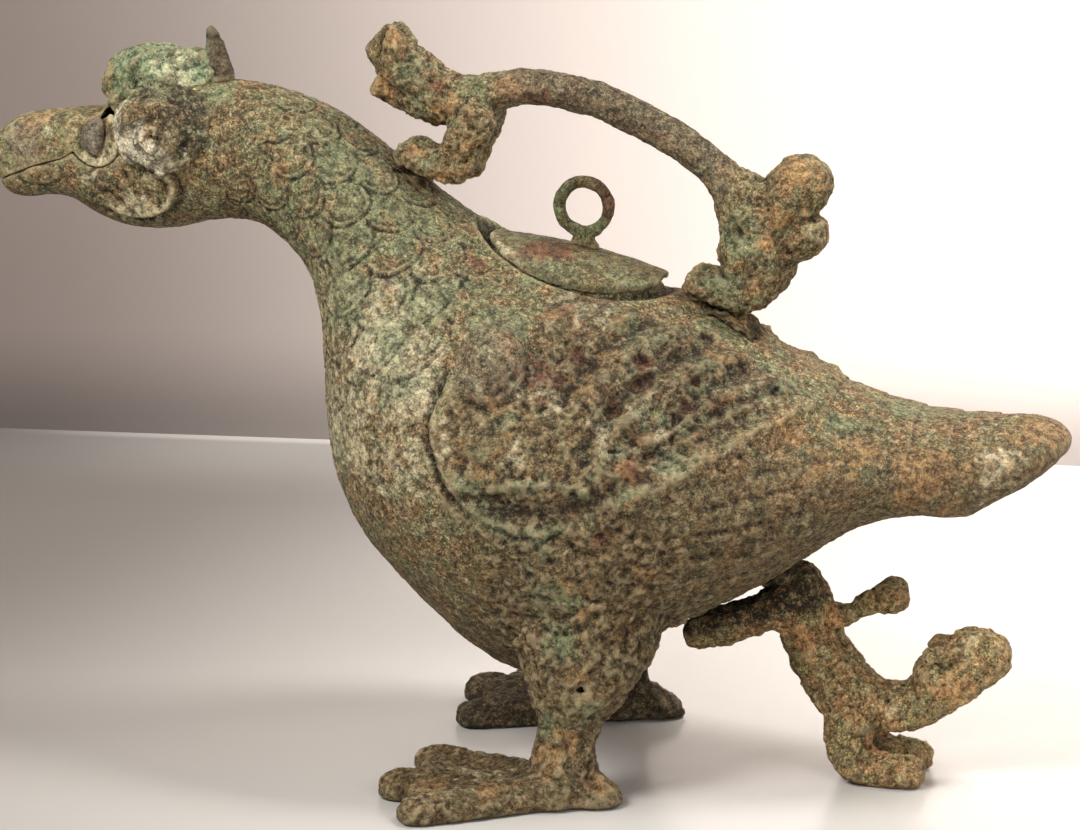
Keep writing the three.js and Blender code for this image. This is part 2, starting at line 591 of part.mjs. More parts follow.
// Support beast: forepaws on the floor, hind feet and hips against the belly, head raised to the rear.
function supportBeast(grow) {
  const stance = SUPPORT_STANCE / 2 / stretch;
  const hold = SUPPORT_HOLD / 2 / stretch;
  const middle = [
    [[87, 0, 57, 10, 11], [90, 0, 46.5, 9.6, 11], [94, 0, 37.4, 9.8, 12], [102, 0, 26.8, 11, 13],
      [108, 0, 22, 10.6, 12.5]],
    [[95, 0, 49.5, 4.4], [104, 0, 51.3, 3.4], [110, 0, 55, 4.2], [116.4, 0, 57.4, 6]],
    [[110, 0, 21.6, 9.6, 11], [123, 0, 23, 7.6, 8.6], [134, 0, 32.4, 10, 10], [141.6, 0, 39.4, 10.4, 10]],
    [[139, 0, 39.6, 8.4, 8.4], [146.4, 0, 41.6, 6, 7]],
  ];
  const pair = [-1, 1].flatMap((side) => [
    [[86, side * hold, 55, 7.5, 6.5], [75, side * hold, 49.2, 5.6], [66, side * hold, 45.6, 5.3],
      [57, side * hold, 43.4, 5.2]],
    [[133, 0.7 * side * stance, 41, 3.6], [129, 0.8 * side * stance, 41, 3.2]],
    [[105, side * stance, 19, 8.4, 6.5], [104.4, side * stance, 10, 7, 6.2]],
    [[105, side * stance, 7.6, 6.6, 6.2], [114, side * stance, 4.4, 6.6, 6.2],
      [122.6, side * stance, 4, 6.2]],
  ]);
  return join(...[...middle, ...pair].map((rows) => limb(rows, { grow, steps: 1 }))).intersect(aboveFloor);
}

// Solder that fills the joints between the beasts and the bird, hugging both.
function solder(rows, beast) {
  return limb(rows, { sides: SOLDER_SIDES }).subtract(outerSeam).subtract(beast);
}
const handleSeam = handleBeast(SEAM);
const supportSeam = supportBeast(SEAM);
const FRONT_JOINT = [[-36, 0, 184.2, 3.2, 9.5], [-30, 0, 179.4, 3.8, 11], [-24, 0, 174.8, 3, 9.5]];
const REAR_JOINT = [[59, 0, 144.8, 3.2, 10], [66.5, 0, 141.9, 4, 11.6], [74, 0, 138.2, 3.6, 10.5]];
const BELLY_JOINT = [[79, 0, 60.5, 3.2, 10.5], [87, 0, 65, 4, 12], [92.5, 0, 68.8, 2.8, 10]];

// Finishes
const bronze = (color, roughness) => new THREE.MeshStandardMaterial({ color, roughness, metalness: 0.45 });
const earth = (color) => new THREE.MeshStandardMaterial({ color, roughness: 0.95, metalness: 0 });
const vessel = new THREE.Group();
function place(name, part, material) {
  const { vertProperties, triVerts } = part.getMesh();
  const geometry = new THREE.BufferGeometry();
  geometry.setAttribute('position', new THREE.BufferAttribute(vertProperties, 3));
  geometry.setIndex(new THREE.BufferAttribute(triVerts, 1));
  geometry.computeVertexNormals();
  const mesh = new THREE.Mesh(geometry, material);
  mesh.name = name;
  vessel.add(mesh);
}

place('body_shell', bodyShell(), bronze('#6b6650', 0.75));
place('upper_beak', upperBeak(), bronze('#6a604a', 0.7));
place('beak_pin', beakPin(), bronze('#4a4a45', 0.5));
place('head_crest', crest(), bronze('#5f8a6c', 0.85));
place('crest_horn', horn(0).subtract(outerSeam), bronze('#5f7560', 0.8));
place('left_eye_boss', eyeBoss(-1), bronze('#7d8068', 0.85));
place('right_eye_boss', eyeBoss(1), bronze('#7d8068', 0.85));
place('left_leg', leg(-1).subtract(drainHole()), bronze('#655c43', 0.8));
place('right_leg', leg(1), bronze('#655c43', 0.8));
place('left_leg_core', legCore(-1), earth('#3a2c22'));
place('right_leg_core', legCore(1), earth('#3a2c22'));
place('handle_tiger', handleBeast(0).subtract(outerSeam), bronze('#665f4a', 0.75));
place('handle_front_solder', solder(FRONT_JOINT, handleSeam), earth('#8a6a45'));
place('handle_rear_solder', solder(REAR_JOINT, handleSeam), earth('#80654a'));
place('support_tiger', supportBeast(0).subtract(outerSeam), bronze('#66553a', 0.8));
place('support_solder', solder(BELLY_JOINT, supportSeam), earth('#4a3f30'));
place('lid_plate', lidPlate(), bronze('#70705a', 0.7));
place('lid_ring', lidRing(), bronze('#6a5344', 0.7));

export default vessel;
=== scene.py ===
import math

import bpy
import numpy as np
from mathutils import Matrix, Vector
from mathutils.bvhtree import BVHTree


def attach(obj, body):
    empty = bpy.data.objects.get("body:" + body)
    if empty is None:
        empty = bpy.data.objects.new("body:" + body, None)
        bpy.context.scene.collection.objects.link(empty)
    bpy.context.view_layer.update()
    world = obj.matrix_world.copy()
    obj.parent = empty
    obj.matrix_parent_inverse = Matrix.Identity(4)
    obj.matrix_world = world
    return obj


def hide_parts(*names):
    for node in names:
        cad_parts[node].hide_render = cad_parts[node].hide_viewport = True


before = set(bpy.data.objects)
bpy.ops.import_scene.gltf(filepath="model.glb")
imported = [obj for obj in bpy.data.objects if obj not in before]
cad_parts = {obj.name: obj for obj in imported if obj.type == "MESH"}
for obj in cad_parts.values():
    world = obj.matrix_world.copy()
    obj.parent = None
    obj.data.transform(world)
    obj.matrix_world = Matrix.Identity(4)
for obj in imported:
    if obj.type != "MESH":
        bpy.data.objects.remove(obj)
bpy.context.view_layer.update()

# The body, neck, head and lower bill are one hollow bronze casting, poured round a clay core. The feathers
# were cut in the mould: scales down the neck and a curled wing on each flank. Long burial has left a sandy
# crust with green, ochre and red patches, so little bare metal shows.

MM = 0.001


def casting(name, node, voxel):
    """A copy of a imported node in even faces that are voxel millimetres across."""
    source = bpy.data.objects.new(name + "_source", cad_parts[node].data.copy())
    bpy.context.collection.objects.link(source)
    remesh = source.modifiers.new("even_faces", "REMESH")
    remesh.mode = "VOXEL"
    remesh.voxel_size = voxel * MM
    mesh = bpy.data.meshes.new_from_object(source.evaluated_get(bpy.context.evaluated_depsgraph_get()))
    bpy.data.objects.remove(source)
    mesh.materials.clear()
    mesh.shade_smooth()
    mesh.name = name
    piece = bpy.data.objects.new(name, mesh)
    bpy.context.collection.objects.link(piece)
    return piece


def points_of(piece):
    """The piece's points in millimetres."""
    flat = np.empty(len(piece.data.vertices) * 3, np.float32)
    piece.data.vertices.foreach_get("co", flat)
    return flat.reshape(-1, 3).astype(float) / MM


def normals_of(piece):
    """The direction out of the skin at each of the piece's points."""
    flat = np.empty(len(piece.data.vertices) * 3, np.float32)
    piece.data.vertex_normals.foreach_get("vector", flat)
    return flat.reshape(-1, 3).astype(float)


def move_to(piece, points):
    """Puts the piece's points in new places, given in millimetres."""
    piece.data.vertices.foreach_set("co", (points * MM).astype(np.float32).ravel())
    piece.data.update()


def raise_by(piece, height):
    """Moves each point out along its normal, by its own height in millimetres."""
    move_to(piece, points_of(piece) + normals_of(piece) * height[:, None])


def eased(piece, passes, share):
    """The points, each moved part of the way to the middle of its neighbours, again and again."""
    points = points_of(piece)
    flat = np.empty(len(piece.data.edges) * 2, np.int32)
    piece.data.edges.foreach_get("vertices", flat)
    ends = np.concatenate([flat[0::2], flat[1::2]])
    others = np.concatenate([flat[1::2], flat[0::2]])
    number = len(points)
    neighbours = np.bincount(ends, minlength=number)
    for _ in range(passes):
        for axis in range(3):
            middle = np.bincount(ends, points[others, axis], number) / neighbours
            points[:, axis] += share * (middle - points[:, axis])
    return points


def soften(piece, passes, share):
    """Eases the piece's facets and edges; share is a number or one for each point."""
    move_to(piece, eased(piece, passes, share))


def ease(value, low, high):
    """0 at low, 1 at high and a smooth step between; low may be the larger."""
    step = np.clip((value - low) / (high - low), 0, 1)
    return step * step * (3 - 2 * step)


def within(value, low, high, soft):
    """1 between low and high, fading to 0 over soft on both sides."""
    return ease(value, low - soft, low) * (1 - ease(value, high, high + soft))


def ridge(distance, width):
    """1 on a line and fading to 0 about a width and a half beside it."""
    return np.exp(-(distance / width) ** 2)


# The grid of the noise is turned, so that its cells don't line up with the vessel, and lies far from zero.
GRID_TURN = np.array(((0.36, 0.48, -0.8), (-0.8, 0.6, 0.0), (0.48, 0.64, 0.6)))
GRID_SHIFT = 4096.0
CELL_KEYS = np.array([73856093, 19349663, 83492791])
SEED_KEY = 2654435761
MIXERS = ((15, 2246822519), (13, 3266489917))
LOW_BITS = 0xFFFFFFFF
HALF_RANGE = 32767.5


def noise(points, size, seed):
    """Smooth lumps from -1 to 1, of about that size in millimetres, the same on every run."""
    cell = points @ GRID_TURN / size + GRID_SHIFT
    low = np.floor(cell).astype(np.int64)
    share = cell - low
    share = share * share * (3 - 2 * share)
    total = np.zeros(len(points))
    for corner in range(8):
        step = np.array([corner & 1, corner >> 1 & 1, corner >> 2])
        key = (low + step) * CELL_KEYS
        mixed = (key[:, 0] ^ key[:, 1] ^ key[:, 2] ^ seed * SEED_KEY) & LOW_BITS
        for bits, mixer in MIXERS:
            mixed = (mixed ^ mixed >> bits) * mixer & LOW_BITS
        weight = np.prod(np.where(step, share, 1 - share), axis=1)
        total += weight * ((mixed >> 16) / HALF_RANGE - 1)
    return total


def lumps(points, size, seed):
    """Noise with two finer layers on top."""
    return (noise(points, size, seed) + 0.5 * noise(points, size * 0.47, seed + 1)
            + 0.25 * noise(points, size * 0.22, seed + 2))


def crags(points, size, seed):
    """Broken crust, about -1 to 1: steep-edged flakes of that size, with sharp crests and small pits."""
    flakes = 2 * ease(noise(points, size, seed), -0.3, 0.3) - 1
    crests = 0.5 - 1.6 * np.abs(noise(points, size * 0.62, seed + 1))
    return 0.5 * flakes + 0.55 * crests + 0.45 * noise(points, size * 0.36, seed + 2)


def corroded(points, rough):
    """Height of the corroded skin, in millimetres: low lumps all over, and crags where rough nears 1."""
    return (0.26 * lumps(points, 11.0, 31) + (0.05 + 0.85 * rough) * crags(points, 5.6, 41)
            + (0.14 + 0.55 * rough) * crags(points, 2.6, 45) + (0.12 + 0.12 * rough) * noise(points, 1.3, 36))


def spots(points, places, seed):
    """Ragged round patches: each place is x, y, z and a radius in millimetres."""
    mask = np.zeros(len(points))
    ragged = 1 + 0.5 * lumps(points, 5.0, seed) + 0.3 * noise(points, 1.8, seed + 3)
    for *centre, radius in places:
        distance = np.linalg.norm(points - centre, axis=1) * ragged
        mask = np.maximum(mask, 1 - ease(distance, 0.3 * radius, 1.15 * radius))
    return mask


def off_line(x, z, line):
    """How far each point is from a line of (x, z) corners, seen from the side."""
    nearest = np.full(len(x), 1e9)
    for (x0, z0), (x1, z1) in zip(line, line[1:]):
        length = (x1 - x0) ** 2 + (z1 - z0) ** 2
        share = np.clip(((x - x0) * (x1 - x0) + (z - z0) * (z1 - z0)) / length, 0, 1)
        nearest = np.minimum(nearest, np.hypot(x - x0 - share * (x1 - x0), z - z0 - share * (z1 - z0)))
    return nearest


def down_spine(x, z, line):
    """Length down a line of (x, z) corners, and how far above it each point is."""
    best = np.full(len(x), 1e9)
    length_down = np.zeros(len(x))
    above = np.zeros(len(x))
    gone = 0.0
    for (x0, z0), (x1, z1) in zip(line, line[1:]):
        length = math.hypot(x1 - x0, z1 - z0)
        along_x, along_z = (x1 - x0) / length, (z1 - z0) / length
        down = np.clip((x - x0) * along_x + (z - z0) * along_z, 0, length)
        off = np.hypot(x - x0 - down * along_x, z - z0 - down * along_z)
        side = (z - z0) * along_x - (x - x0) * along_z
        closer = off < best
        best = np.where(closer, off, best)
        length_down = np.where(closer, gone + down, length_down)
        above = np.where(closer, side, above)
        gone += length
    return length_down, above


def curve(line, steps=4):
    """A smooth line through the corners, in a few steps from each to the next."""
    ends = [line[0]] + list(line) + [line[-1]]
    smooth = []
    for a, b, c, d in zip(ends, ends[1:], ends[2:], ends[3:]):
        for step in range(steps):
            t = step / steps
            smooth.append(tuple(
                0.5 * (2 * q + (r - p) * t + (2 * p - 5 * q + 4 * r - s) * t ** 2
                       + (3 * q - p - 3 * r + s) * t ** 3)
                for p, q, r, s in zip(a, b, c, d)))
    return smooth + [line[-1]]


def keep_masks(piece, name, *masks):
    """Stores up to four masks with the mesh as one colour layer, for its material to read."""
    layer = piece.data.attributes.new(name, "FLOAT_COLOR", "POINT")
    colours = np.zeros((len(piece.data.vertices), 4), np.float32)
    for channel, mask in enumerate(masks):
        colours[:, channel] = np.clip(mask, 0, 1)
    layer.data.foreach_set("color", colours.ravel())


HOLLOW_PASSES = 16
HOLLOW_SHARE = 0.8
LEAST_HEIGHT = 0.1


def weather(piece, green=0, ochre=0, pale=0, brown=0, dark=0, red=0, grey=0, depth=0.4):
    """Stores where each corrosion lies. The hollows get dark earth and painted shade, and the crowns get wear
    and a painted highlight.
    """
    smooth = eased(piece, HOLLOW_PASSES, HOLLOW_SHARE)
    stands_out = ((points_of(piece) - smooth) * normals_of(piece)).sum(1)
    # Hollows: dark earth and painted shade. Crowns: wear and a painted highlight.
    hollow = ease(-stands_out, LEAST_HEIGHT, depth)
    crown = ease(stands_out, LEAST_HEIGHT, depth)
    keep_masks(piece, "tint", green, ochre, pale, brown)
    keep_masks(piece, "form", np.maximum(dark, hollow), red, crown, grey)


BODY_VOXEL = 0.6
body = casting("vessel_body", "body_shell", BODY_VOXEL)
points = points_of(body)
x, y, z = points.T

# Facets are eased most on the trunk, and hardly at all at the bill, the tail's edges and the lid's seat.
LID_CENTRE = (17.6, 155.0)
LID_HALF = (27.5, 18.5)
SEAT_FADE = 200
BILL_START = (-128, -112)
TAIL_END = (140, 158)
BODY_PASSES = 46
TRUNK_EASING = 0.9
EASING_DROP = 0.78


def off_lid(x, y):
    """How far each point is from the lid's middle, seen from above: 1 at the lid's rim."""
    return np.hypot((x - LID_CENTRE[0]) / LID_HALF[0], y / LID_HALF[1])


seat = off_lid(x, y) + np.abs(z - LID_CENTRE[1]) / SEAT_FADE
near_seat = (1 - ease(seat, 1.08, 1.3)) * ease(z, 130, 140)
sharp = np.maximum.reduce([near_seat, 1 - ease(x, *BILL_START), ease(x, *TAIL_END)])
soften(body, BODY_PASSES, TRUNK_EASING - EASING_DROP * sharp)

# A line from the bill through the neck and the trunk to the tail tells the outside from the inside.
SPINE = curve(((-168, 181), (-131, 184), (-105, 187), (-84, 184), (-66, 172), (-50, 155), (-32, 133),
               (-8, 112), (22, 100), (60, 94), (100, 98), (140, 102), (170, 108)))
HEAD_START = (-126, -112)
points = points_of(body)
normals = normals_of(body)
x, y, z = points.T
side = np.abs(y)
down, above = down_spine(x, z, SPINE)
spine_x, spine_z = np.array(SPINE).T
spine_down = np.concatenate([[0], np.cumsum(np.hypot(np.diff(spine_x), np.diff(spine_z)))])
away = np.stack([x - np.interp(down, spine_down, spine_x), y, z - np.interp(down, spine_down, spine_z)], 1)
outside = ease((normals * away).sum(1), 0, 4)
free = outside * (1 - near_seat) * ease(x, *HEAD_START)

# Scales: rows of round-ended feathers, each with a double line round its end, the upper rows on the lower.
SCALE_ROW = 9.6
SCALE_WIDTH = 12.4
SCALE_RADIUS = 6.8
SCALE_LINES = ((0.5, 0.74), (2.4, 0.46))
SCALE_LINE_WIDTH = 0.52
SCALE_LIFT = 0.24
SCALE_LIFT_FADE = 2.4
SCALE_TOP = -1.5
SCALES_AROUND_QUARTER = 3
SCALED_NECK = (90, 172)
SCALED_FADE = 20
DRIFT = 16.0
around = np.arctan2(above, side) / (math.pi / 2) * SCALES_AROUND_QUARTER * SCALE_WIDTH
around = around + noise(points, DRIFT, 5)
down = down + noise(points, DRIFT, 6)
row = np.ceil((down - SCALE_RADIUS) / SCALE_ROW)


def from_scale(row):
    """Each point's distances from the middle of the row's nearest scale, down the neck and round it."""
    shift = 0.5 * (row % 2)
    column = np.round(around / SCALE_WIDTH - shift) + shift
    return down - row * SCALE_ROW, around - column * SCALE_WIDTH


over_down, over_around = from_scale(row)
in_upper = (np.hypot(over_down, over_around) < SCALE_RADIUS) | (over_down < 0)
under_down, under_around = from_scale(row + 1)
scale_down = np.where(in_upper, over_down, under_down)
scale_around = np.where(in_upper, over_around, under_around)
from_rim = np.where(scale_down > SCALE_TOP, SCALE_RADIUS - np.hypot(scale_down, scale_around), SCALE_RADIUS)
scaled = within(down, *SCALED_NECK, SCALED_FADE) * free * (1 - 0.7 * ease(down, 150, 190))
worn = ease(lumps(points, 12.0, 3), -1.1, -0.2)
scale_cut = sum(depth * ridge(from_rim - inset, SCALE_LINE_WIDTH) for inset, depth in SCALE_LINES)
scale_lift = SCALE_LIFT * np.exp(-np.maximum(from_rim, 0) / SCALE_LIFT_FADE)

# Wing: a curl in front, a trough with a ledge above and a rim below, a round shoulder, and flight feathers.
WING = (12.7, 108.0)
GROOVE = curve(((-6, 134.5), (-11, 128), (-14.2, 121.5), (-15.5, 115), (-13.8, 107), (-10, 98), (-5.2, 92.3),
                (0.5, 88.8), (8.5, 85.8), (17, 84.4)))
GROOVE_DEPTH = 1.9
INWARD = 0.13
INNER_EDGE = [(x0 + INWARD * (WING[0] - x0), z0 + INWARD * (WING[1] - z0)) for x0, z0 in GROOVE]
INNER_EDGE_RISE = 0.9
RIM = curve(((-1, 91.8), (6, 88.6), (14, 87.2), (22.3, 87), (30.8, 90), (41.4, 95.5), (50, 100.5)))
RIM_RISE = 0.8
LEDGE = curve(((-5, 98.4), (-1, 97.6), (6.4, 98.8), (14, 100), (20.6, 100.6), (28, 99.8), (34, 98)))
LEDGE_RISE = 1.2
TROUGH = curve(((-3, 95.4), (7, 93.2), (17, 92.6), (27, 93), (36, 95)))
TROUGH_DEPTH = 1.5
SHOULDER = (2.2, 133.4)
SHOULDER_RADIUS = 10.6
SHOULDER_RISE = 1.6
SHOULDER_SLOPE_RISE = 1.3
SHOULDER_FOOT_DEPTH = 1.5
FEATHER_RISE = 2.1
FEATHER_WIDTH = 4.8
FEATHER_LEVEL = 0.62
FEATHER_VALLEYS = (
    ((20, 118), (23, 123), (27, 128), (32, 135), (39, 141), (48, 145), (63, 147)),
    ((32, 110), (36, 117), (42, 125), (50, 131), (59, 136), (72, 138)),
    ((41, 108), (48, 115), (58, 121), (67, 128), (79, 131)),
    ((38, 97), (45, 101), (62, 112), (76, 117), (89, 120)),
    ((50, 107), (60, 114.5), (70, 121), (82, 126)),
)
WING_EDGE = curve(((42, 93), (50, 98.5), (62, 105), (78, 113.5), (94, 121)))
WING_EDGE_RISE = 0.8
LOW_FEATHERS = (((62, 92), (74, 95), (94, 99)), ((70, 101), (84, 104), (104, 107)),
                ((56, 84), (76, 87), (98, 92)), ((48, 76), (66, 78), (84, 83)),
                ((76, 108), (92, 111), (112, 113)))
LOW_FEATHER_DEPTH = 0.5
flank = ease(side, 16, 26) * free
reach = np.hypot(x - WING[0], z - WING[1])
bent_x = x + noise(points, 8.0, 11) + 0.5 * noise(points, 3.0, 12)
bent_z = z + noise(points, 8.0, 13) + 0.5 * noise(points, 3.0, 14)
uneven = np.clip(0.8 + 0.45 * noise(points, 9.0, 15), 0.25, 1.3)


def wing_line(line, width):
    """1 on a line of the wing and fading beside it, bent and unevenly worn."""
    return ridge(off_line(bent_x, bent_z, line), width) * uneven


groove = wing_line(GROOVE, 1.1) * ease(z, 133, 126) * (1 - 0.6 * ease(x, -6, 4))
inner_edge = wing_line(INNER_EDGE, 2.3) * ease(z, 88, 98)
trough = wing_line(TROUGH, 3.2)
ledge = wing_line(LEDGE, 1.6)
rim = wing_line(RIM, 1.5)
wing_edge = wing_line(WING_EDGE, 1.8)
shoulder_x = x - SHOULDER[0]
shoulder_z = z - SHOULDER[1]
off_shoulder = np.hypot(shoulder_x, shoulder_z) / SHOULDER_RADIUS
shoulder_low = ease((shoulder_x - shoulder_z) / (SHOULDER_RADIUS * (off_shoulder + 0.1)), -0.2, 0.9)
shoulder = np.clip(1 - (off_shoulder / 1.15) ** 2, 0, 1) ** 1.5
shoulder_foot = ridge(off_shoulder - 1.08, 0.12) * shoulder_low * uneven
shoulder_slope = ridge(off_shoulder - 1.2, 0.4) * (1 - shoulder_low)
valley = np.minimum.reduce([off_line(bent_x, bent_z, curve(line)) for line in FEATHER_VALLEYS])
feathered = ease(reach, 12, 22) * within(x, 20, 88, 10) * ease(z - 0.55 * x, 70, 80)
feather = (ease(valley, 0, FEATHER_WIDTH) - FEATHER_LEVEL) * feathered
low_feathers = np.minimum.reduce([off_line(x, z, line) for line in LOW_FEATHERS])

# Corrosion pits, on the flank that the earth ate most, and in other places on the far one.
PITS = ((26.5, -41.1, 134.6, 3.8), (45, -35.7, 133.5, 3.6), (44.7, -41, 127.9, 3.2), (48, -38, 129.5, 2.4),
        (39.5, -47.5, 121.8, 3.8), (61.3, -16.8, 139.1, 2.9), (61.8, -35, 128.1, 2.5), (60.6, -42, 122, 2.6),
        (57.9, -45.5, 120, 2.2), (33.8, -61.5, 93.5, 2.6),
        (52, 40, 124, 2.8), (38, 51, 112, 2.2), (71, 33, 121, 2.4), (-14, 50, 131, 1.8))
PIT_DEPTH = 1.8
LEG_TOP = (30, 64)
pits = spots(points, PITS, 21)
in_wing = np.maximum(ease(reach, 29, 23), feathered) * flank
by_leg = 1 - ease(np.hypot(x - LEG_TOP[0], z - LEG_TOP[1]), 22, 44)
rough = np.clip(0.05 + 0.75 * in_wing + 0.6 * by_leg + 0.25 * ease(x, 20, 60) * ease(x, 120, 80), 0, 1)
rough = rough * (1 - 0.45 * flank * ease(off_shoulder, 1.3, 0.9)) * (1 - 0.6 * ease(normals[:, 2], 0.6, 0.85))
relief = (corroded(points, rough * free) * (0.3 + 0.7 * free) * outside
          + scaled * worn * (scale_lift - scale_cut)
          + flank * (-GROOVE_DEPTH * groove + INNER_EDGE_RISE * inner_edge - TROUGH_DEPTH * trough
                     + LEDGE_RISE * ledge + RIM_RISE * rim + SHOULDER_RISE * shoulder
                     + SHOULDER_SLOPE_RISE * shoulder_slope - SHOULDER_FOOT_DEPTH * shoulder_foot
                     + FEATHER_RISE * feather * uneven + WING_EDGE_RISE * wing_edge
                     - LOW_FEATHER_DEPTH * ridge(low_feathers, 1.0))
          - PIT_DEPTH * pits * free)

# Lid's seat: its lip is worn down round the lid, and leaves a narrow gap, painted dark as shade.
SEAT_GAP = 1.05
SEAT_GAP_DEPTH = 2.0
SEAT_LIP = 1.18
SEAT_LIP_RISE = 0.7
seat_rim = off_lid(x, y)
seat_gap = ridge(seat_rim - SEAT_GAP, 0.07) * ease(z, 144, 150) * outside
relief -= SEAT_GAP_DEPTH * seat_gap
relief += SEAT_LIP_RISE * ridge(seat_rim - SEAT_LIP, 0.06) * ease(x, 10, -6) * ease(z, 150, 158) * outside

# Tail: low steps across its top, a lip along its lower edge and a hollow over the lip.
TAIL_STEPS = (99.8, 112.0, 124.0, 135.4, 147.0)
TAIL_STEP_DEPTH = 0.55
TAIL_STEP_LENGTH = 4.0
TAIL_STEP_EDGE = 0.3
TAIL_LIP = curve(((112, 80.5), (128, 79.5), (140, 80), (146, 84), (156, 91), (167, 99)))
TAIL_LIP_WIDTH = 1.7
TAIL_LIP_RISE = 1.3
LIP_HOLLOW_HEIGHT = 4.2
LIP_HOLLOW_DEPTH = 0.7
top_face = ease(normals[:, 2], 0.6, 0.9) * outside
for place in TAIL_STEPS:
    past_step = ridge(np.maximum(x - place, 0), TAIL_STEP_LENGTH)
    relief -= TAIL_STEP_DEPTH * top_face * past_step * (x > place - TAIL_STEP_EDGE)
tail_lip = ridge(off_line(x, z, TAIL_LIP), TAIL_LIP_WIDTH) * ease(x, 118, 134) * outside
off_hollow = off_line(x, z - LIP_HOLLOW_HEIGHT, TAIL_LIP)
lip_hollow = ridge(off_hollow, TAIL_LIP_WIDTH) * ease(x, 122, 138) * outside
relief += TAIL_LIP_RISE * tail_lip - LIP_HOLLOW_DEPTH * lip_hollow

# Head: an oval disc on each jaw below the eye, raised at its rim, with a dark knob, and a leaf on the bill.
JAW = (-118.0, 177.4)
JAW_HALF = (13.2, 9.2)
JAW_RIM_RISE = 1.2
KNOB = (-127.6, 179.0)
KNOB_RADIUS = 3.9
KNOB_RISE = 1.6
LEAF = (-150.0, 179.4)
LEAF_HALF = (7.0, 3.0)
LEAF_SLOPE = 0.12
LEAF_RISE = 0.5
LEAF_LINE_DEPTH = 0.35
jaw_x = (x - JAW[0]) / JAW_HALF[0]
jaw_z = (z - JAW[1]) / JAW_HALF[1]
off_jaw = np.hypot(jaw_x, jaw_z)
jaw_turn = (np.degrees(np.arctan2(jaw_z, jaw_x)) + 180) % 360
jaw_arc = within(jaw_turn, 60, 195, 25)
jaw_rim = ridge(off_jaw - 0.97, 0.09) * jaw_arc
cheek = ease(side, 7, 11) * outside * within(x, -136, -100, 2)
knob = np.clip(1 - (np.hypot(x - KNOB[0], z - KNOB[1]) / KNOB_RADIUS) ** 2, 0, 1)
on_bill = ease(side, 5, 8) * outside * (x < -138)
leaf_x = x - LEAF[0]
off_leaf = np.hypot(leaf_x / LEAF_HALF[0], (z - LEAF[1] - LEAF_SLOPE * leaf_x) / LEAF_HALF[1])
leaf_line = ridge(off_leaf - 1.15, 0.14)
relief += cheek * (JAW_RIM_RISE * jaw_rim - ridge(off_jaw - 1.16, 0.1) * jaw_arc
                   + 0.8 * crags(points, 4.4, 51) * ease(off_jaw, 1.0, 0.85) + KNOB_RISE * knob)
relief += on_bill * (LEAF_RISE * ease(off_leaf, 1.1, 0.8) - LEAF_LINE_DEPTH * leaf_line)
raise_by(body, relief)

# Where each colour of corrosion lies: the near flank as the photograph has it, then a few places on the far.
GREEN_PLACES = ((-47.6, -33, 164, 11), (-20.5, -41, 148, 8), (-30, -47, 139, 8), (-33, -21, 174, 9),
                (-45, -26, 178, 9), (-46, -37, 150.5, 11), (-51, -19, 188, 10), (10.8, -56, 120, 5),
                (43, -30, 139, 9), (64, -12, 140, 8), (104, -25, 115, 9), (121, -4, 117, 12),
                (3, -40, 144, 8), (-16, -38, 150, 9), (-94, -11, 206, 9), (24, -60, 66, 9),
                (86, -20, 124, 8), (60, -50, 106, 8), (-26, -50, 124, 8), (20, -62, 84, 7),
                (-40, 34, 160, 12), (-20, 48, 136, 9), (20, 56, 118, 9), (70, 40, 115, 11),
                (110, 20, 115, 12))
OCHRE_PLACES = ((77.7, -8, 138, 5), (5.3, -56, 122, 4), (18, -61, 104.2, 4), (-4, -62, 107, 6),
                (1.8, -62, 103, 5), (21, -32, 145, 6), (37, -28, 143, 5), (46.9, -51, 114, 4),
                (46, -57, 105, 5), (34, -56, 68, 5), (48.5, -54, 73, 6), (110, -30, 109, 9),
                (89, -34, 115, 8), (128, -31, 101, 12), (160, -9, 113, 10), (27, -58, 70, 5),
                (-70, -24, 184, 5), (-74, -21, 194, 5), (-99, -21, 182, 5), (-104, -21, 181, 5),
                (54, -4, 147, 5), (-23, -11, 176, 5), (98, -39, 103, 7),
                (60, 48, 95, 9), (120, 28, 102, 12), (0, 60, 100, 8))
PALE_PLACES = ((-32, -48, 136, 12), (-37, -44, 141, 11), (-25, -52, 128, 13), (-132, -16, 182, 5),
               (-123, -14, 169, 7), (150, -22, 106, 9), (-117, -17, 172, 7), (-4, -61, 101, 5),
               (-36, -36, 110, 16), (-30, 50, 132, 14))
RED_PLACES = ((21.6, -47.5, 128.8, 3.4), (-8.3, -23.4, 158.5, 3), (-32.4, -39, 154, 3), (46, -56, 105.5, 4),
              (38, -60, 84.6, 4), (30, -61, 92, 3), (17, -47, 131, 3))
neck_green = ease(z, 118, 160) * within(x, -72, 10, 20) * 0.45
breast = within(x, -62, -18, 14) * within(z, 100, 150, 18)
green = spots(points, GREEN_PLACES, 61) * 0.8 + neck_green + flank * (0.75 * ledge + 0.75 * rim)
ochre = spots(points, OCHRE_PLACES, 64) * 0.65 + 0.25 * ease(x, 95, 140) * ease(z, 118, 104)
pale = spots(points, PALE_PLACES, 67) * 0.7 + cheek * 0.85 * jaw_rim + 0.5 * breast
brown = (0.75 * in_wing + 0.85 * ease(x, 24, 60) * ease(z, 122, 100) + 0.6 * by_leg
         + 0.5 * ease(z, 96, 60))
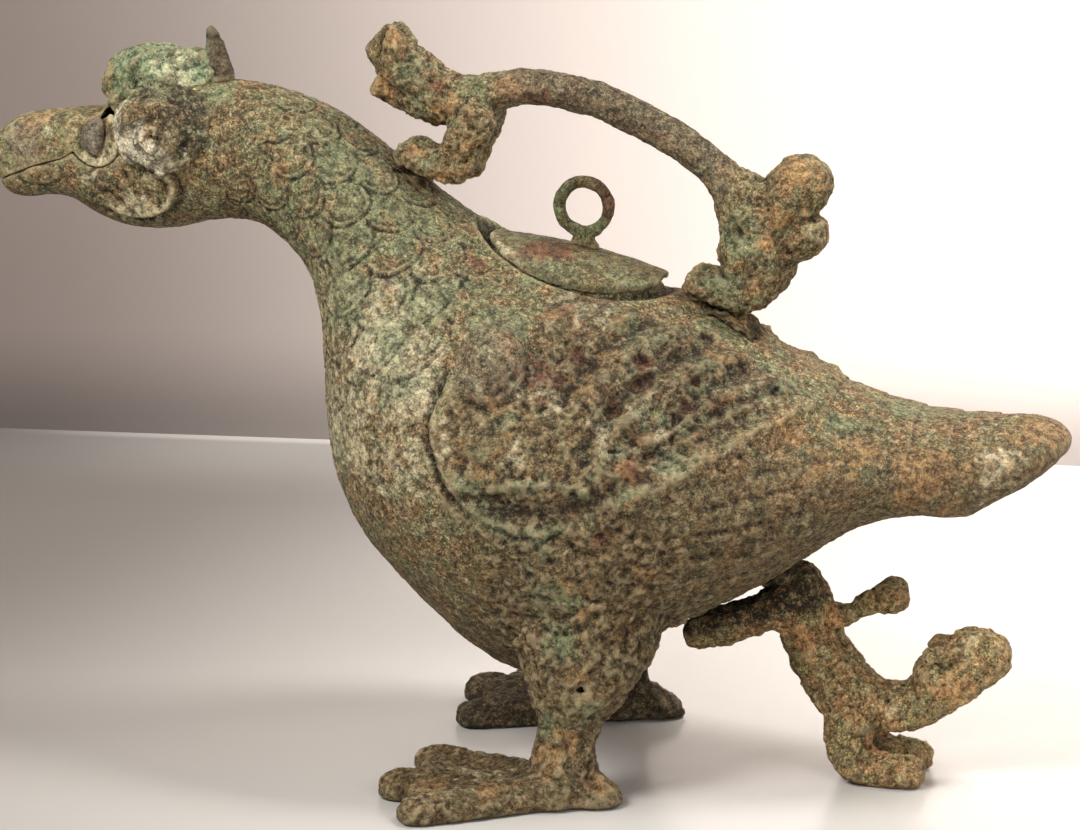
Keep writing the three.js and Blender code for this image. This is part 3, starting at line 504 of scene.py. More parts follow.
# Painted shade: the wing's groove, trough, feather valleys and low feathers, the foot of the shoulder on its
# lower right, the scales' cut lines, the lid's seat gap, the line outside the jaw rim, the hollow over the
# tail lip and the bill's leaf line are painted dark. The upper feathers are darker too; the knob's dark is
# its own colour.
dark_wing = (0.9 * groove + 0.9 * trough + 0.9 * shoulder_foot + 0.6 * ridge(valley, 1.5) * feathered
             + 0.3 * ridge(low_feathers, 0.8) + 0.3 * feathered * ease(z, 112, 124))
dark = (flank * dark_wing + 1.4 * scaled * worn * scale_cut + 1.4 * seat_gap
        + cheek * 0.9 * ridge(off_jaw - 1.18, 0.1) + 0.6 * lip_hollow + 0.8 * cheek * ease(knob, 0.1, 0.5)
        + 0.5 * on_bill * leaf_line)
red = np.maximum(0.8 * ease(pits, 0.25, 0.7), 0.6 * spots(points, RED_PLACES, 71))
mottled = outside * (0.35 + 0.65 * in_wing) * (1 - 0.7 * breast)
green = green + mottled * 0.55 * ease(lumps(points, 8.0, 75), 0.1, 0.7)
ochre = ochre + mottled * 0.7 * ease(lumps(points, 6.0, 78), 0.3, 0.9)
pale = pale + mottled * 0.6 * ease(lumps(points, 7.0, 81), 0.25, 0.85)
red = red + mottled * 0.6 * ease(lumps(points, 6.0, 84), 0.55, 0.95)
grey = flank * ease(off_shoulder, 1.3, 0.6) * 0.6
weather(body, green, ochre, pale, brown, dark, red, grey)


def shade(red, green, blue):
    """A colour as the eye reads it, 0 to 255, in the linear values that a shader takes."""
    def linear(value):
        part = value / 255
        return part / 12.92 if part <= 0.04045 else ((part + 0.055) / 1.055) ** 2.4
    return (linear(red), linear(green), linear(blue), 1.0)


def add(tree, kind, sockets, **settings):
    """A shader node with its settings and its inputs, which are values or other nodes' outputs."""
    node = tree.nodes.new("ShaderNode" + kind)
    for name, value in settings.items():
        setattr(node, name, value)
    for name, value in sockets.items():
        if isinstance(value, bpy.types.NodeSocket):
            tree.links.new(value, node.inputs[name])
        else:
            node.inputs[name].default_value = value
    return node.outputs


def laid_over(tree, share, under, over, way="MIX"):
    """One colour over another, by a share from 0 to 1."""
    return add(tree, "Mix", {0: share, 6: under, 7: over}, data_type="RGBA", blend_type=way)[2]


def tinted(tree, colour, tint):
    """A colour times another colour or a value."""
    return laid_over(tree, 1.0, colour, tint, "MULTIPLY")


def worked(tree, operation, *values):
    """Arithmetic on values and other nodes' outputs."""
    return add(tree, "Math", dict(enumerate(values)), operation=operation)[0]


def stepped(tree, value, low, high, start=0.0, end=1.0):
    """A smooth step of a value from start to end."""
    limits = {"Value": value, "From Min": low, "From Max": high, "To Min": start, "To Max": end}
    return add(tree, "MapRange", limits, interpolation_type="SMOOTHSTEP")[0]


def cloud(tree, place, size, detail=3.0, moved=0.0):
    """Noise with features of about that size in millimetres."""
    if moved:
        place = add(tree, "VectorMath", {0: place, 1: (moved, moved, moved)}, operation="ADD")[0]
    features = {"Vector": place, "Scale": 1 / (size * MM), "Detail": detail, "Roughness": 0.6}
    return add(tree, "TexNoise", features)[0]


def new_group(name, inputs, outputs):
    """An empty shader group with named sockets."""
    tree = bpy.data.node_groups.new(name, "ShaderNodeTree")
    for way, sockets in (("INPUT", inputs), ("OUTPUT", outputs)):
        for socket, kind in sockets.items():
            tree.interface.new_socket(socket, in_out=way, socket_type="NodeSocket" + kind)
    return tree, tree.nodes.new("NodeGroupInput").outputs, tree.nodes.new("NodeGroupOutput").inputs


# Sandy crust: sharp grains in clumps on low lumps, dark between and light on top, with thin cracks and a few
# black pores. The scales are shares of the grains in a metre.
sandy_crust, given, result = new_group(
    "sandy crust",
    {"Vector": "Vector", "Grains per metre": "Float", "Dark": "Color", "Middle": "Color", "Light": "Color"},
    {"Color": "Color", "Height": "Float"})
CRUST_SCALES = {"grain": 1.0, "dust": 2.6, "clump": 0.4, "lump": 0.2, "vein": 0.33}
GRAIN_SHARE = 0.42
DUST_SHARE = 0.34
CLUMP_SHARE = 0.24
MIDDLE_STEP = (0.41, 0.495)
LIGHT_STEP = (0.5, 0.59)
CRACK_WIDTH = 0.022
HOLE_DEPTH = 0.12
COOL_TINT = (236, 250, 228)
WARM_TINT = (255, 232, 206)
RUSTY_TINT = (255, 208, 160)
HOLE_COLOUR = (34, 28, 19)
layer = {kind: add(sandy_crust, "TexNoise",
                   {"Vector": given["Vector"], "Detail": 4.0, "Roughness": 0.62,
                    "Scale": worked(sandy_crust, "MULTIPLY", given["Grains per metre"], scale)})["Fac"]
         for kind, scale in CRUST_SCALES.items()}
grains = worked(sandy_crust, "MULTIPLY", layer["grain"], GRAIN_SHARE)
grains = worked(sandy_crust, "MULTIPLY_ADD", layer["dust"], DUST_SHARE, grains)
grains = worked(sandy_crust, "MULTIPLY_ADD", layer["clump"], CLUMP_SHARE, grains)
colour = laid_over(sandy_crust, stepped(sandy_crust, grains, *MIDDLE_STEP), given["Dark"], given["Middle"])
colour = laid_over(sandy_crust, stepped(sandy_crust, grains, *LIGHT_STEP), colour, given["Light"])
lump_shade = stepped(sandy_crust, layer["lump"], 0.3, 0.7, 0.66, 1.2)
colour = tinted(sandy_crust, colour, lump_shade)
warmth = stepped(sandy_crust, cloud(sandy_crust, given["Vector"], 8.0, 4.0, 5.3), 0.38, 0.62)
warm = laid_over(sandy_crust, warmth, shade(*COOL_TINT), shade(*WARM_TINT))
colour = tinted(sandy_crust, colour, warm)
rust = stepped(sandy_crust, cloud(sandy_crust, given["Vector"], 3.6, 4.0, 1.7), 0.56, 0.68, 0.0, 0.5)
colour = laid_over(sandy_crust, rust, colour, tinted(sandy_crust, colour, shade(*RUSTY_TINT)))
off_vein = worked(sandy_crust, "ABSOLUTE", worked(sandy_crust, "SUBTRACT", layer["vein"], 0.5))
cracks = stepped(sandy_crust, off_vein, 0.0, CRACK_WIDTH, 0.7, 0.0)
pores = stepped(sandy_crust, cloud(sandy_crust, given["Vector"], 1.9, 2.0, 2.9), 0.64, 0.7, 0.0, 0.7)
holes = worked(sandy_crust, "MAXIMUM", cracks, pores)
colour = laid_over(sandy_crust, holes, colour, shade(*HOLE_COLOUR))
height = worked(sandy_crust, "MULTIPLY", grains, 0.6)
height = worked(sandy_crust, "MULTIPLY_ADD", layer["lump"], 0.4, height)
height = worked(sandy_crust, "MULTIPLY_ADD", holes, -HOLE_DEPTH, height)
sandy_crust.links.new(colour, result["Color"])
sandy_crust.links.new(height, result["Height"])

# Burial patches: brown earth, green, ochre and pale corrosion where the masks and a ragged noise let it, grey
# where the skin is bare, worn crowns with a painted highlight, red pits, and dark hollows of earth and
# painted shade.
burial, given, result = new_group(
    "burial patches",
    {"Color": "Color", "Height": "Float", "Vector": "Vector", "Tint": "Color", "Brown": "Float",
     "Form": "Color", "Grey": "Float", "Green": "Color", "Ochre": "Color", "Pale": "Color"},
    {"Color": "Color", "Roughness": "Float"})
EARTH = (86, 70, 48)
EARTH_SHARE = 0.7
PATCH_SHARE = 0.56
BARE_SKIN = (112, 101, 90)
BARE_SHARE = 0.55
WORN_AND_HIGHLIT_CROWN = (182, 165, 128)
CROWN_SHARE = 0.36
RED_RUST = (98, 54, 42)
RED_SHARE = 0.8
HOLLOW_EARTH_AND_SHADE = (28, 23, 16)
tint = add(burial, "SeparateColor", {0: given["Tint"]})
form = add(burial, "SeparateColor", {0: given["Form"]})
grain_shade = stepped(burial, given["Height"], 0.37, 0.59, 0.24, 1.62)
earth = tinted(burial, shade(*EARTH), grain_shade)
colour = laid_over(burial, worked(burial, "MULTIPLY", given["Brown"], EARTH_SHARE), given["Color"], earth)
for channel, kind, size, moved in (("Blue", "Pale", 3.0, 11.3), ("Red", "Green", 4.6, 3.1),
                                   ("Green", "Ochre", 3.4, 7.7)):
    ragged = worked(burial, "MULTIPLY_ADD", cloud(burial, given["Vector"], size, 4.0, moved), 2.0, -1.0)
    share = worked(burial, "MULTIPLY_ADD", tint[channel], 0.8, ragged)
    share = stepped(burial, share, 0.12, 0.78, 0.0, PATCH_SHARE)
    patch = tinted(burial, given[kind], grain_shade)
    colour = laid_over(burial, share, colour, patch)
bare = tinted(burial, shade(*BARE_SKIN), grain_shade)
colour = laid_over(burial, worked(burial, "MULTIPLY", given["Grey"], BARE_SHARE), colour, bare)
# Crowns: lighter from wear and a painted highlight.
colour = laid_over(burial, worked(burial, "MULTIPLY", form["Blue"], CROWN_SHARE), colour, shade(*WORN_AND_HIGHLIT_CROWN))
rust = tinted(burial, shade(*RED_RUST), grain_shade)
colour = laid_over(burial, worked(burial, "MULTIPLY", form["Green"], RED_SHARE), colour, rust)
# Dark crust, hollow earth and painted shade, strongest in the low spots between grains.
in_low_grains = stepped(burial, given["Height"], 0.44, 0.58, 0.95, 0.45)
colour = laid_over(burial, worked(burial, "MULTIPLY", form["Red"], in_low_grains), colour, shade(*HOLLOW_EARTH_AND_SHADE))
roughness = stepped(burial, cloud(burial, given["Vector"], 3.0), 0.35, 0.65, 0.66, 0.9)
burial.links.new(colour, result["Color"])
burial.links.new(roughness, result["Roughness"])


CRUST_SPECULAR = 0.25


def crusted(name, grain, dark, middle, light, green=(108, 119, 88), ochre=(150, 115, 75),
            pale=(194, 184, 150), depth=1.5):
    """A corroded bronze finish: the sandy crust with burial patches over it, in the colours given."""
    finish = bpy.data.materials.new(name)
    finish.use_nodes = True
    tree = finish.node_tree
    shader = tree.nodes["Principled BSDF"]
    place = add(tree, "TexCoord", {})["Object"]
    crust = add(tree, "Group", {"Vector": place, "Grains per metre": 1 / (grain * MM), "Dark": shade(*dark),
                                "Middle": shade(*middle), "Light": shade(*light)}, node_tree=sandy_crust)
    tint_layer = add(tree, "Attribute", {}, attribute_name="tint")
    form_layer = add(tree, "Attribute", {}, attribute_name="form")
    patches = add(tree, "Group", {"Color": crust["Color"], "Height": crust["Height"], "Vector": place,
                                  "Tint": tint_layer["Color"], "Brown": tint_layer["Alpha"],
                                  "Form": form_layer["Color"], "Grey": form_layer["Alpha"],
                                  "Green": shade(*green), "Ochre": shade(*ochre), "Pale": shade(*pale)},
                  node_tree=burial)
    bump = add(tree, "Bump", {"Height": crust["Height"], "Strength": 1.0, "Distance": depth * MM})
    tree.links.new(patches["Color"], shader.inputs["Base Color"])
    tree.links.new(patches["Roughness"], shader.inputs["Roughness"])
    tree.links.new(bump["Normal"], shader.inputs["Normal"])
    shader.inputs["Specular IOR Level"].default_value = CRUST_SPECULAR
    return finish


def fit(piece, finish, carrier, slot, *nodes):
    """Gives the piece its finish and the body that carries it, and hides the nodes it stands for. The slot is
    not used.
    """
    piece.data.materials.append(finish)
    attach(piece, carrier)
    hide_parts(*nodes)


body_finish = crusted("body_crust", 0.7, (58, 49, 36), (116, 103, 80), (194, 180, 148))
fit(body, body_finish, "vessel", "vessel_bronze", "body_shell")
body_surface = BVHTree.FromPolygons([vertex.co for vertex in body.data.vertices],
                                    [face.vertices for face in body.data.polygons])

# The upper half of the bill is a separate casting, a flap that swings up on a cross pin behind the mouth.
# It is bronze with a thin, smoother crust, and its round cheeks have a pale worn rim.

PIVOT = (-131.0, 192.0)
CHEEK_RADIUS = 7.8
MOUTH_DROP = 0.44
PIN_ROOM = 0.4
BILL_OCHRE = ((-152, -8, 196, 9), (-150, 8, 196, 7))
BILL_PALE = ((-133, -17, 183, 4),)
BILL_GREY = ((-156, -11, 189, 10), (-156, 10, 189, 9))
bill = casting("upper_bill", "upper_beak", 0.45)
x, y, z = points_of(bill).T
by_mouth = ease(z - 0.1 * x, 206, 202)
soften(bill, 14, 0.8 - 0.7 * by_mouth)
points = points_of(bill)
points[:, 2] -= MOUTH_DROP * by_mouth * ease(x, -136, -141)
move_to(bill, points)
x, y, z = points.T
off_pivot = np.hypot(x - PIVOT[0], z - PIVOT[1])
bill_cheek = ease(np.abs(y), 12, 14.5)
cheek_rim = ridge(off_pivot - CHEEK_RADIUS, 0.9) * bill_cheek * (x > -134)
rear = ease(off_pivot, 7.4, 8.2) * ease(off_pivot, 10.5, 9.4) * (x > -131)
by_pin = ease(off_pivot, 8.4, 7.2)
raise_by(bill, 0.25 * lumps(points, 5.0, 81) * (1 - rear) * (1 - by_mouth) * (1 - by_pin)
         + (0.4 * cheek_rim + 0.3 * rear) * (1 - by_pin) - PIN_ROOM * by_pin)
weather(bill, green=0.32 + 0.2 * noise(points, 6, 82), ochre=0.8 * spots(points, BILL_OCHRE, 83),
        pale=cheek_rim + spots(points, BILL_PALE, 84) + 0.3, brown=0.15,
        dark=0.6 * ridge(off_pivot - 5.6, 0.8) * bill_cheek, grey=spots(points, BILL_GREY, 85) * 0.8)
bill_finish = crusted("bill_crust", 0.75, (66, 57, 41), (124, 110, 82), (174, 160, 128), depth=0.7)
fit(bill, bill_finish, "beak", "bill_bronze", "upper_beak")

# The cross pin is a bronze rod with an oval domed head at each end, hammered smooth and worn dark. It goes
# through both cheeks of the bill and two lugs inside the head.

pin = casting("bill_pin", "beak_pin", 0.35)
soften(pin, 10, 0.7)
points = points_of(pin)
raise_by(pin, 0.1 * lumps(points, 3.0, 91))
weather(pin, brown=0.2, grey=0.8)
pin_finish = crusted("pin_crust", 0.8, (44, 40, 35), (86, 79, 67), (134, 125, 108), depth=0.5)
fit(pin, pin_finish, "vessel", "pin_bronze", "beak_pin")

# The big round eyes are bronze bosses, cast on to the sides of the head. Their spirals are worn to lumps,
# with painted shade in the hollows and on the rear and top, dark crust in patches, and white crust caked in
# front.

FLARE_FADE = 0.22
RIM_GAP = 1.2


def grow_into(piece, middle, reach, flare, sink):
    """Widens a piece about its middle near the body's skin and sinks its rim, as at a cast-on joint."""
    points = points_of(piece)
    outward = points - middle
    for index, point in enumerate(points):
        found = body_surface.find_nearest(point * MM, reach * MM)
        if found[0] is None:
            continue
        gap = found[3] / MM
        skin = np.array(found[1])
        sideways = outward[index] - skin * (outward[index] @ skin)
        points[index] += sideways * flare * math.exp(-gap / (FLARE_FADE * reach))
        if gap < RIM_GAP:
            points[index] -= skin * (sink + gap) * (1 - gap / RIM_GAP)
    move_to(piece, points)


def on_side(sign, places):
    """Places given for the right side, moved to the left where sign is -1."""
    return [(x, sign * y, z, radius) for x, y, z, radius in places]


HANDS = (("left", -1), ("right", 1))
EYE = (-108.6, 195.2)
SPIRAL_PITCH = 7.0
EYE_CRUST = ((-118, 25, 190, 9), (-110, 26, 187, 8), (-114, 26, 196, 5), (-121, 20, 196, 7))
for hand, sign in HANDS:
    eye = casting(hand + "_eye", hand + "_eye_boss", 0.42)
    soften(eye, 14, 0.8)
    grow_into(eye, points_of(eye).mean(0), 6.0, 0.14, 0.5)
    points = points_of(eye)
    x, y, z = points.T
    reach = np.hypot(x - EYE[0], z - EYE[1])
    turn = np.arctan2(z - EYE[1], x - EYE[0])
    spiral = np.cos(2 * math.pi * (reach / SPIRAL_PITCH) - turn) * ease(reach, 14, 9)
    front = ease(np.abs(y), 12, 18)
    raise_by(eye, front * (spiral + 1.2 * crags(points, 8.0, 101) - 0.3) + 0.55 * crags(points, 3.0, 104))
    # Dark: painted shade in the spiral hollows and on the rear and top, and patches of dark crust from a
    # noise.
    weather(eye, green=0.8 * ease(z, 200, 207), ochre=0.6 * ease(z, 188, 184) * ease(x, -108, -100),
            pale=1.2 * spots(points, on_side(sign, EYE_CRUST), 105), brown=0.2,
            dark=(0.4 * ease(-spiral, 0.1, 0.8) + 0.5 * ease(x + 0.5 * (z - 195), -104, -96)
                  + 0.3 * ease(z, 199, 204) + 0.4 * ease(noise(points, 5.0, 107), 0.1, 0.6)),
            grey=0.3 * ease(x, -112, -100), depth=0.7)
    eye_finish = crusted(hand + "_eye_crust", 0.75, (50, 43, 32), (146, 132, 105), (220, 208, 178),
                         pale=(238, 228, 200))
    fit(eye, eye_finish, "vessel", "eye_bronze", hand + "_eye_boss")

# The crest is a raised bronze comb on the head with a curved horn behind it, cast apart and soldered on.
# The solder has turned the comb green, and left cream crust along its foot.


def knoll(across, up, centre, radius):
    """A lump that is 1 at its centre and falls evenly to 0 at its radius."""
    return np.clip(1 - np.hypot(across - centre[0], up - centre[1]) / radius, 0, 1)


COMB_WEB = (-98, 0)
COMB_WEB_RADIUS = 9
COMB_WEB_RISE = 2.4
COMB_PALE = ((-108, -9.6, 210, 8), (-104, -9, 208, 7), (-112, -10, 206, 6), (-106, 9, 209, 7))
crest = casting("crest_comb", "head_crest", 0.45)
soften(crest, 20, 0.8)
grow_into(crest, points_of(crest).mean(0), 6.0, 0.12, 0.5)
points = points_of(crest)
x, y, z = points.T
web = knoll(x, y, COMB_WEB, COMB_WEB_RADIUS) * ease(z, 209, 214)
raise_by(crest, crags(points, 6.5, 111) + 0.5 * crags(points, 2.8, 114) + COMB_WEB_RISE * web)
weather(crest, green=0.8, ochre=0.8 * ease(x, -124, -130), pale=spots(points, COMB_PALE, 115),
        brown=0.15 + 0.6 * ease(z, 212, 217))
crest_finish = crusted("crest_crust", 0.75, (62, 57, 40), (132, 125, 95), (196, 188, 152),
                       green=(122, 144, 112), pale=(216, 204, 166))
fit(crest, crest_finish, "vessel", "crest_bronze", "head_crest")

horn = casting("crest_point", "crest_horn", 0.4)
soften(horn, 10, 0.7)
grow_into(horn, points_of(horn).mean(0), 5.0, 0.3, 0.4)
points = points_of(horn)
x, y, z = points.T
raise_by(horn, 0.5 + 0.45 * crags(points, 3.6, 121))
# The front edge is painted lighter green as lit, and the rest darker as painted shade.
lit_edge = ease(x + (z - 209) * 0.1, -95.5, -98.5)
weather(horn, green=lit_edge, brown=0.3, dark=0.4 * (1 - lit_edge), grey=0.4)
horn_finish = crusted("horn_crust", 0.8, (42, 35, 26), (86, 75, 57), (138, 126, 100), green=(120, 142, 106))
fit(horn, horn_finish, "vessel", "crest_bronze", "crest_horn")

# The two legs are hollow bronze castings with webbed feet, run on to the belly, so their tops flow into it.
# They are browner than the body, with sand in the crust and a small worn hole in the left shank. The right
# leg is painted darker as shade.

SUNK_BELOW = 0.6


def sink_into_body(piece, share):
    """Presses the piece's points towards the body's skin and just below it, each by its share."""
    points = points_of(piece)
    for index, point in enumerate(points):
        found = body_surface.find_nearest(point * MM)
        points[index] -= np.array(found[1]) * (found[3] / MM + SUNK_BELOW) * share[index]
    move_to(piece, points)


SHANK_LEVELS = np.arange(20.0, 70.0, 5.0)
SHANK_SLICE = 4
CALF_RISE = 2.3
HEEL = (34, 14)
HEEL_RISE = 0.8
HEEL_TAPER = 0.42
ANKLE = (26.0, 49.0)
ANKLE_RISE = 2.6
SOLE = (0.2, 2.0)
LEG_GREEN = ((21, 54, 28, 8), (25, 57, 53, 10), (34, 58, 30, 6))
LEG_OCHRE = ((31, 57, 42, 4), (22, 55, 16, 9), (5, 64, 8, 10), (36, 51, 7, 7), (33, 58, 60, 6),
             (-14, 66, 8, 8))
LEG_PALE = ((-10, 70, 8, 10), (0, 52, 9, 8))
for hand, sign in HANDS:
    leg = casting(hand + "_shank_and_foot", hand + "_leg", 0.55)
    soften(leg, 26, 0.8)
    points = points_of(leg)
    x, y, z = points.T
    slices = [np.abs(z - level) < SHANK_SLICE for level in SHANK_LEVELS]
    axis = np.stack([np.interp(z, SHANK_LEVELS, [x[part].mean() for part in slices]),
                     np.interp(z, SHANK_LEVELS, [y[part].mean() for part in slices]), z], 1)
    sink_into_body(leg, np.maximum(0.62 * ease(z, 42, 62), 0.95 * ease(x, 22, 11) * ease(z, 37, 46)))
    grow_into(leg, axis, 16.0, 0.2, 0.8)
    normals = normals_of(leg)
    outer = ease((normals * (points - axis)).sum(1), 0, 2)
    calf = CALF_RISE * within(z, 34, 44, 10) * outer
    heel = HEEL_RISE * ease(x, 30, 44) * ease(z, 22, 14)
    off_ankle = np.hypot(x - ANKLE[0], np.abs(y) - ANKLE[1])
    ankle = ANKLE_RISE * ease(off_ankle, 17, 10) * ease(z, 26, 9) * outer
    raise_by(leg, (calf + heel + ankle) * ease(z, *SOLE))
    soften(leg, 10, 0.7)
    points = points_of(leg)
    points[:, 2] *= 1 - HEEL_TAPER * ease(x, 30, 47) * ease(z, 24, 14)
    move_to(leg, points)
    soften(leg, 60, 0.85 * ease(np.hypot(x - HEEL[0], z - HEEL[1]), 10, 5))
    points = points_of(leg)
    raise_by(leg, corroded(points, 0.5 + 0.25 * ease(z, 20, 50)) * ease(z, *SOLE))
    # The right leg is painted darker as shade; each foot is also darker in its lowest 2.5 mm.
    weather(leg, green=0.75 * spots(points, on_side(sign, LEG_GREEN), 138),
            ochre=0.85 * spots(points, on_side(sign, LEG_OCHRE), 135),
            pale=0.4 * spots(points, on_side(sign, LEG_PALE), 141), brown=0.75,
            dark=0.5 * ease(z, 2.5, 0) + 0.8 * (sign > 0))
    leg_finish = crusted(hand + "_leg_crust", 0.7, (46, 38, 27), (94, 80, 58), (166, 149, 113))
    fit(leg, leg_finish, "vessel", "leg_bronze", hand + "_leg")

# The clay that the legs were cast round is still inside them, dark, baked and crumbling. It shows only at the
# worn hole, so the solids stay and get this finish.

CLAY_GRAIN = 0.7
CLAY_DARK = (34, 27, 20)
CLAY_LIGHT = (84, 66, 46)
CLAY_DEPTH = 0.4
clay = bpy.data.materials.new("baked_clay")
clay.use_nodes = True
tree = clay.node_tree
shader = tree.nodes["Principled BSDF"]
place = add(tree, "TexCoord", {})["Object"]
grain = cloud(tree, place, CLAY_GRAIN)
colour = laid_over(tree, stepped(tree, grain, 0.38, 0.62), shade(*CLAY_DARK), shade(*CLAY_LIGHT))
bump = add(tree, "Bump", {"Height": grain, "Strength": 0.7, "Distance": CLAY_DEPTH * MM})
tree.links.new(colour, shader.inputs["Base Color"])
tree.links.new(stepped(tree, grain, 0.3, 0.7, 0.8, 0.98), shader.inputs["Roughness"])
tree.links.new(bump["Normal"], shader.inputs["Normal"])
for hand in ("left", "right"):
    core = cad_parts[hand + "_leg_core"]
    core.data.materials.clear()
    core.data.materials.append(clay)

# The handle is a bronze beast arched over the back, cast apart: its raised head and forepaws in front,
# its haunches and curled tail behind. Its crust is the roughest, with orange earth caught in it.

HEAD_GROOVE = curve(((-40.5, 228), (-43, 221), (-43.4, 214), (-40, 208)))
HEAD_GROOVE_DEPTH = 1.2
TAIL_BALL = (87, 184)
HAUNCH_KNOLLS = ((91, 170.5), (88, 158))
HAUNCH_RADIUS = 6
HAUNCH_RISE = 1.2
HANDLE_OCHRE = ((-36.4, -7, 225, 6), (-43, -4, 208.6, 6), (-21.4, -7.5, 202.6, 7), (-3, -6.6, 209.4, 7),
                (-29, -8.6, 191, 6), (-22.4, -11, 184, 6), (-14, -8, 183, 6), (79, -9, 175.5, 4.5),
                (77.4, -11, 166.5, 4.5), (74.4, -12.7, 152, 4.5), (86, -8, 188, 9), (-40, 0, 187, 6),
                (80, 9, 170, 6), (-20, 8, 196, 7), (-16, -8, 194, 6))
HANDLE_GREEN = ((-26, -11, 187.7, 5), (-14, -4, 213, 7), (66, -11, 154, 7), (61, -8, 155, 6),
                (-34, -6, 214, 6), (68, -9.4, 165, 8), (-30, -6, 208, 7), (66, 9, 160, 8))
HANDLE_PALE = ((66, -11, 152, 5), (-26, -11, 187, 4))
HANDLE_RED = ((-24, -8, 210, 4), (8, -6, 206, 5))
handle = casting("handle_beast", "handle_tiger", 0.5)
soften(handle, 22, 0.8)
points = points_of(handle)
x, y, z = points.T
grip = within(x, -2, 60, 10) * ease(z, 170, 185)
ball = ease(np.hypot(x - TAIL_BALL[0], z - TAIL_BALL[1]), 10, 7)
head_groove = ridge(off_line(x, z, HEAD_GROOVE), 1.1) * ease(np.abs(y), 3, 6) * (z > 204)
haunch = sum(knoll(x, z, centre, HAUNCH_RADIUS) for centre in HAUNCH_KNOLLS)
raise_by(handle, corroded(points, 0.65 - 0.5 * np.maximum(grip, 0.8 * ball))
         - HEAD_GROOVE_DEPTH * head_groove + HAUNCH_RISE * haunch)
# The head groove is painted dark as shade; the grip is darker along its top edge.
weather(handle, green=0.15 + 0.6 * spots(points, HANDLE_GREEN, 155),
        ochre=0.9 * spots(points, HANDLE_OCHRE, 158), pale=0.5 * spots(points, HANDLE_PALE, 161), brown=0.25,
        dark=0.8 * head_groove + 0.5 * grip * ease(z + 0.42 * x, 211, 219),
        red=0.7 * spots(points, HANDLE_RED, 164), grey=0.55 * grip)
handle_finish = crusted("handle_crust", 0.7, (48, 40, 29), (114, 100, 76), (194, 178, 143),
                        ochre=(164, 124, 81))
fit(handle, handle_finish, "vessel", "handle_bronze", "handle_tiger")

# The handle's joints are lumps of soft solder, run in under its paws to hold it on the back. Corrosion has
# swollen them into orange and dark crust, and their dark brown is partly painted shade under the paws.


def solder_lump(name, node):
    """A lump of solder with round edges, spread on to the body's skin."""
    lump = casting(name, node, 0.45)
    soften(lump, 16, 0.8)
    grow_into(lump, points_of(lump).mean(0), 3.0, 0.08, 0.4)
    return lump


for place, seed, sunk in (("front", 171, (-33, -27)), ("rear", 181, (66, 82))):
    joint = solder_lump("handle_" + place + "_joint", "handle_" + place + "_solder")
    points = points_of(joint)
    raise_by(joint, 0.8 * crags(points, 3.6, seed) + 0.4 * crags(points, 2.0, seed + 3) - 0.7)
    sink_into_body(joint, ease(points[:, 0], *sunk))
    weather(joint, green=0.25, ochre=0.35 + 0.5 * noise(points, 5.0, seed + 4), brown=0.6,
            dark=0.6 * ease(noise(points, 5.5, seed + 5), -0.2, 0.4))
    # Dark brown, partly painted shade under the paws.
    joint_finish = crusted(place + "_joint_crust", 0.8, (40, 32, 21), (84, 68, 44), (138, 118, 82))
    fit(joint, joint_finish, "vessel", "solder", "handle_" + place + "_solder")

# The third support is a small bronze beast standing on its forepaws, hips against the belly and tail curled
# back. It was cast apart and soldered under the tail, and its crust is brown and sandy with orange earth. Its
# top,
# under the belly, is darker: black crust and painted shadow.

BROW = (128, 34)
BROW_RISE = 3.2
CROWN = (149, 37)
CROWN_RISE = 1.6
SNOUT = (151, 27.5)
SNOUT_RISE = 1.8
SUPPORT_SOLE = (0.2, 2.5)
SUPPORT_OCHRE = ((98.4, -3.7, 51, 5.5), (90, -10.6, 44, 7), (136.5, -8.7, 30.5, 8), (117, -5, 7, 8),
                 (100, 8, 40, 7), (112, -9, 12, 6))
SUPPORT_GREEN = ((125, -8, 27, 6), (107, -10, 40, 6), (88, 9, 48, 6))
SUPPORT_PALE = ((139, -7, 45, 6), (118, -10, 24, 5))
support = casting("support_beast", "support_tiger", 0.5)
soften(support, 22, 0.8)
points = points_of(support)
x, y, z = points.T
brow = BROW_RISE * knoll(x, z, BROW, 5.5)
crown = CROWN_RISE * knoll(x, z, CROWN, 7)
snout = SNOUT_RISE * knoll(x, z, SNOUT, 5)
raise_by(support, (corroded(points, 0.55) + brow + crown + snout) * ease(z, *SUPPORT_SOLE))
# Darker: the top under the belly, as black crust and painted shadow, and a little low on its inner end.
weather(support, green=0.5 * spots(points, SUPPORT_GREEN, 195), ochre=spots(points, SUPPORT_OCHRE, 198),
        pale=0.5 * spots(points, SUPPORT_PALE, 201), brown=0.25,
        dark=ease(z - 0.22 * x, 29, 35) * ease(x, 101, 92) + 0.25 * ease(x + 0.9 * z, 128, 121))
support_finish = crusted("support_crust", 0.7, (58, 47, 32), (148, 124, 90), (218, 197, 156),
                         ochre=(188, 140, 94))
fit(support, support_finish, "vessel", "support_bronze", "support_tiger")

joint = solder_lump("support_joint", "support_solder")
points = points_of(joint)
raise_by(joint, 0.8 * crags(points, 3.6, 211) - 0.4)
sink_into_body(joint, ease(points[:, 0], 84, 92))
weather(joint, brown=0.8, dark=0.7 + 0.3 * noise(points, 4.0, 214))
joint_finish = crusted("support_joint_crust", 0.8, (28, 23, 16), (60, 49, 34), (108, 92, 66))
fit(joint, joint_finish, "vessel", "solder", "support_solder")

# The lid is an oval bronze plate, cast thin and smoother than the body. It drops into a seat between the
# handle's ends, where only its flange holds it. Its front rim is worn pale.

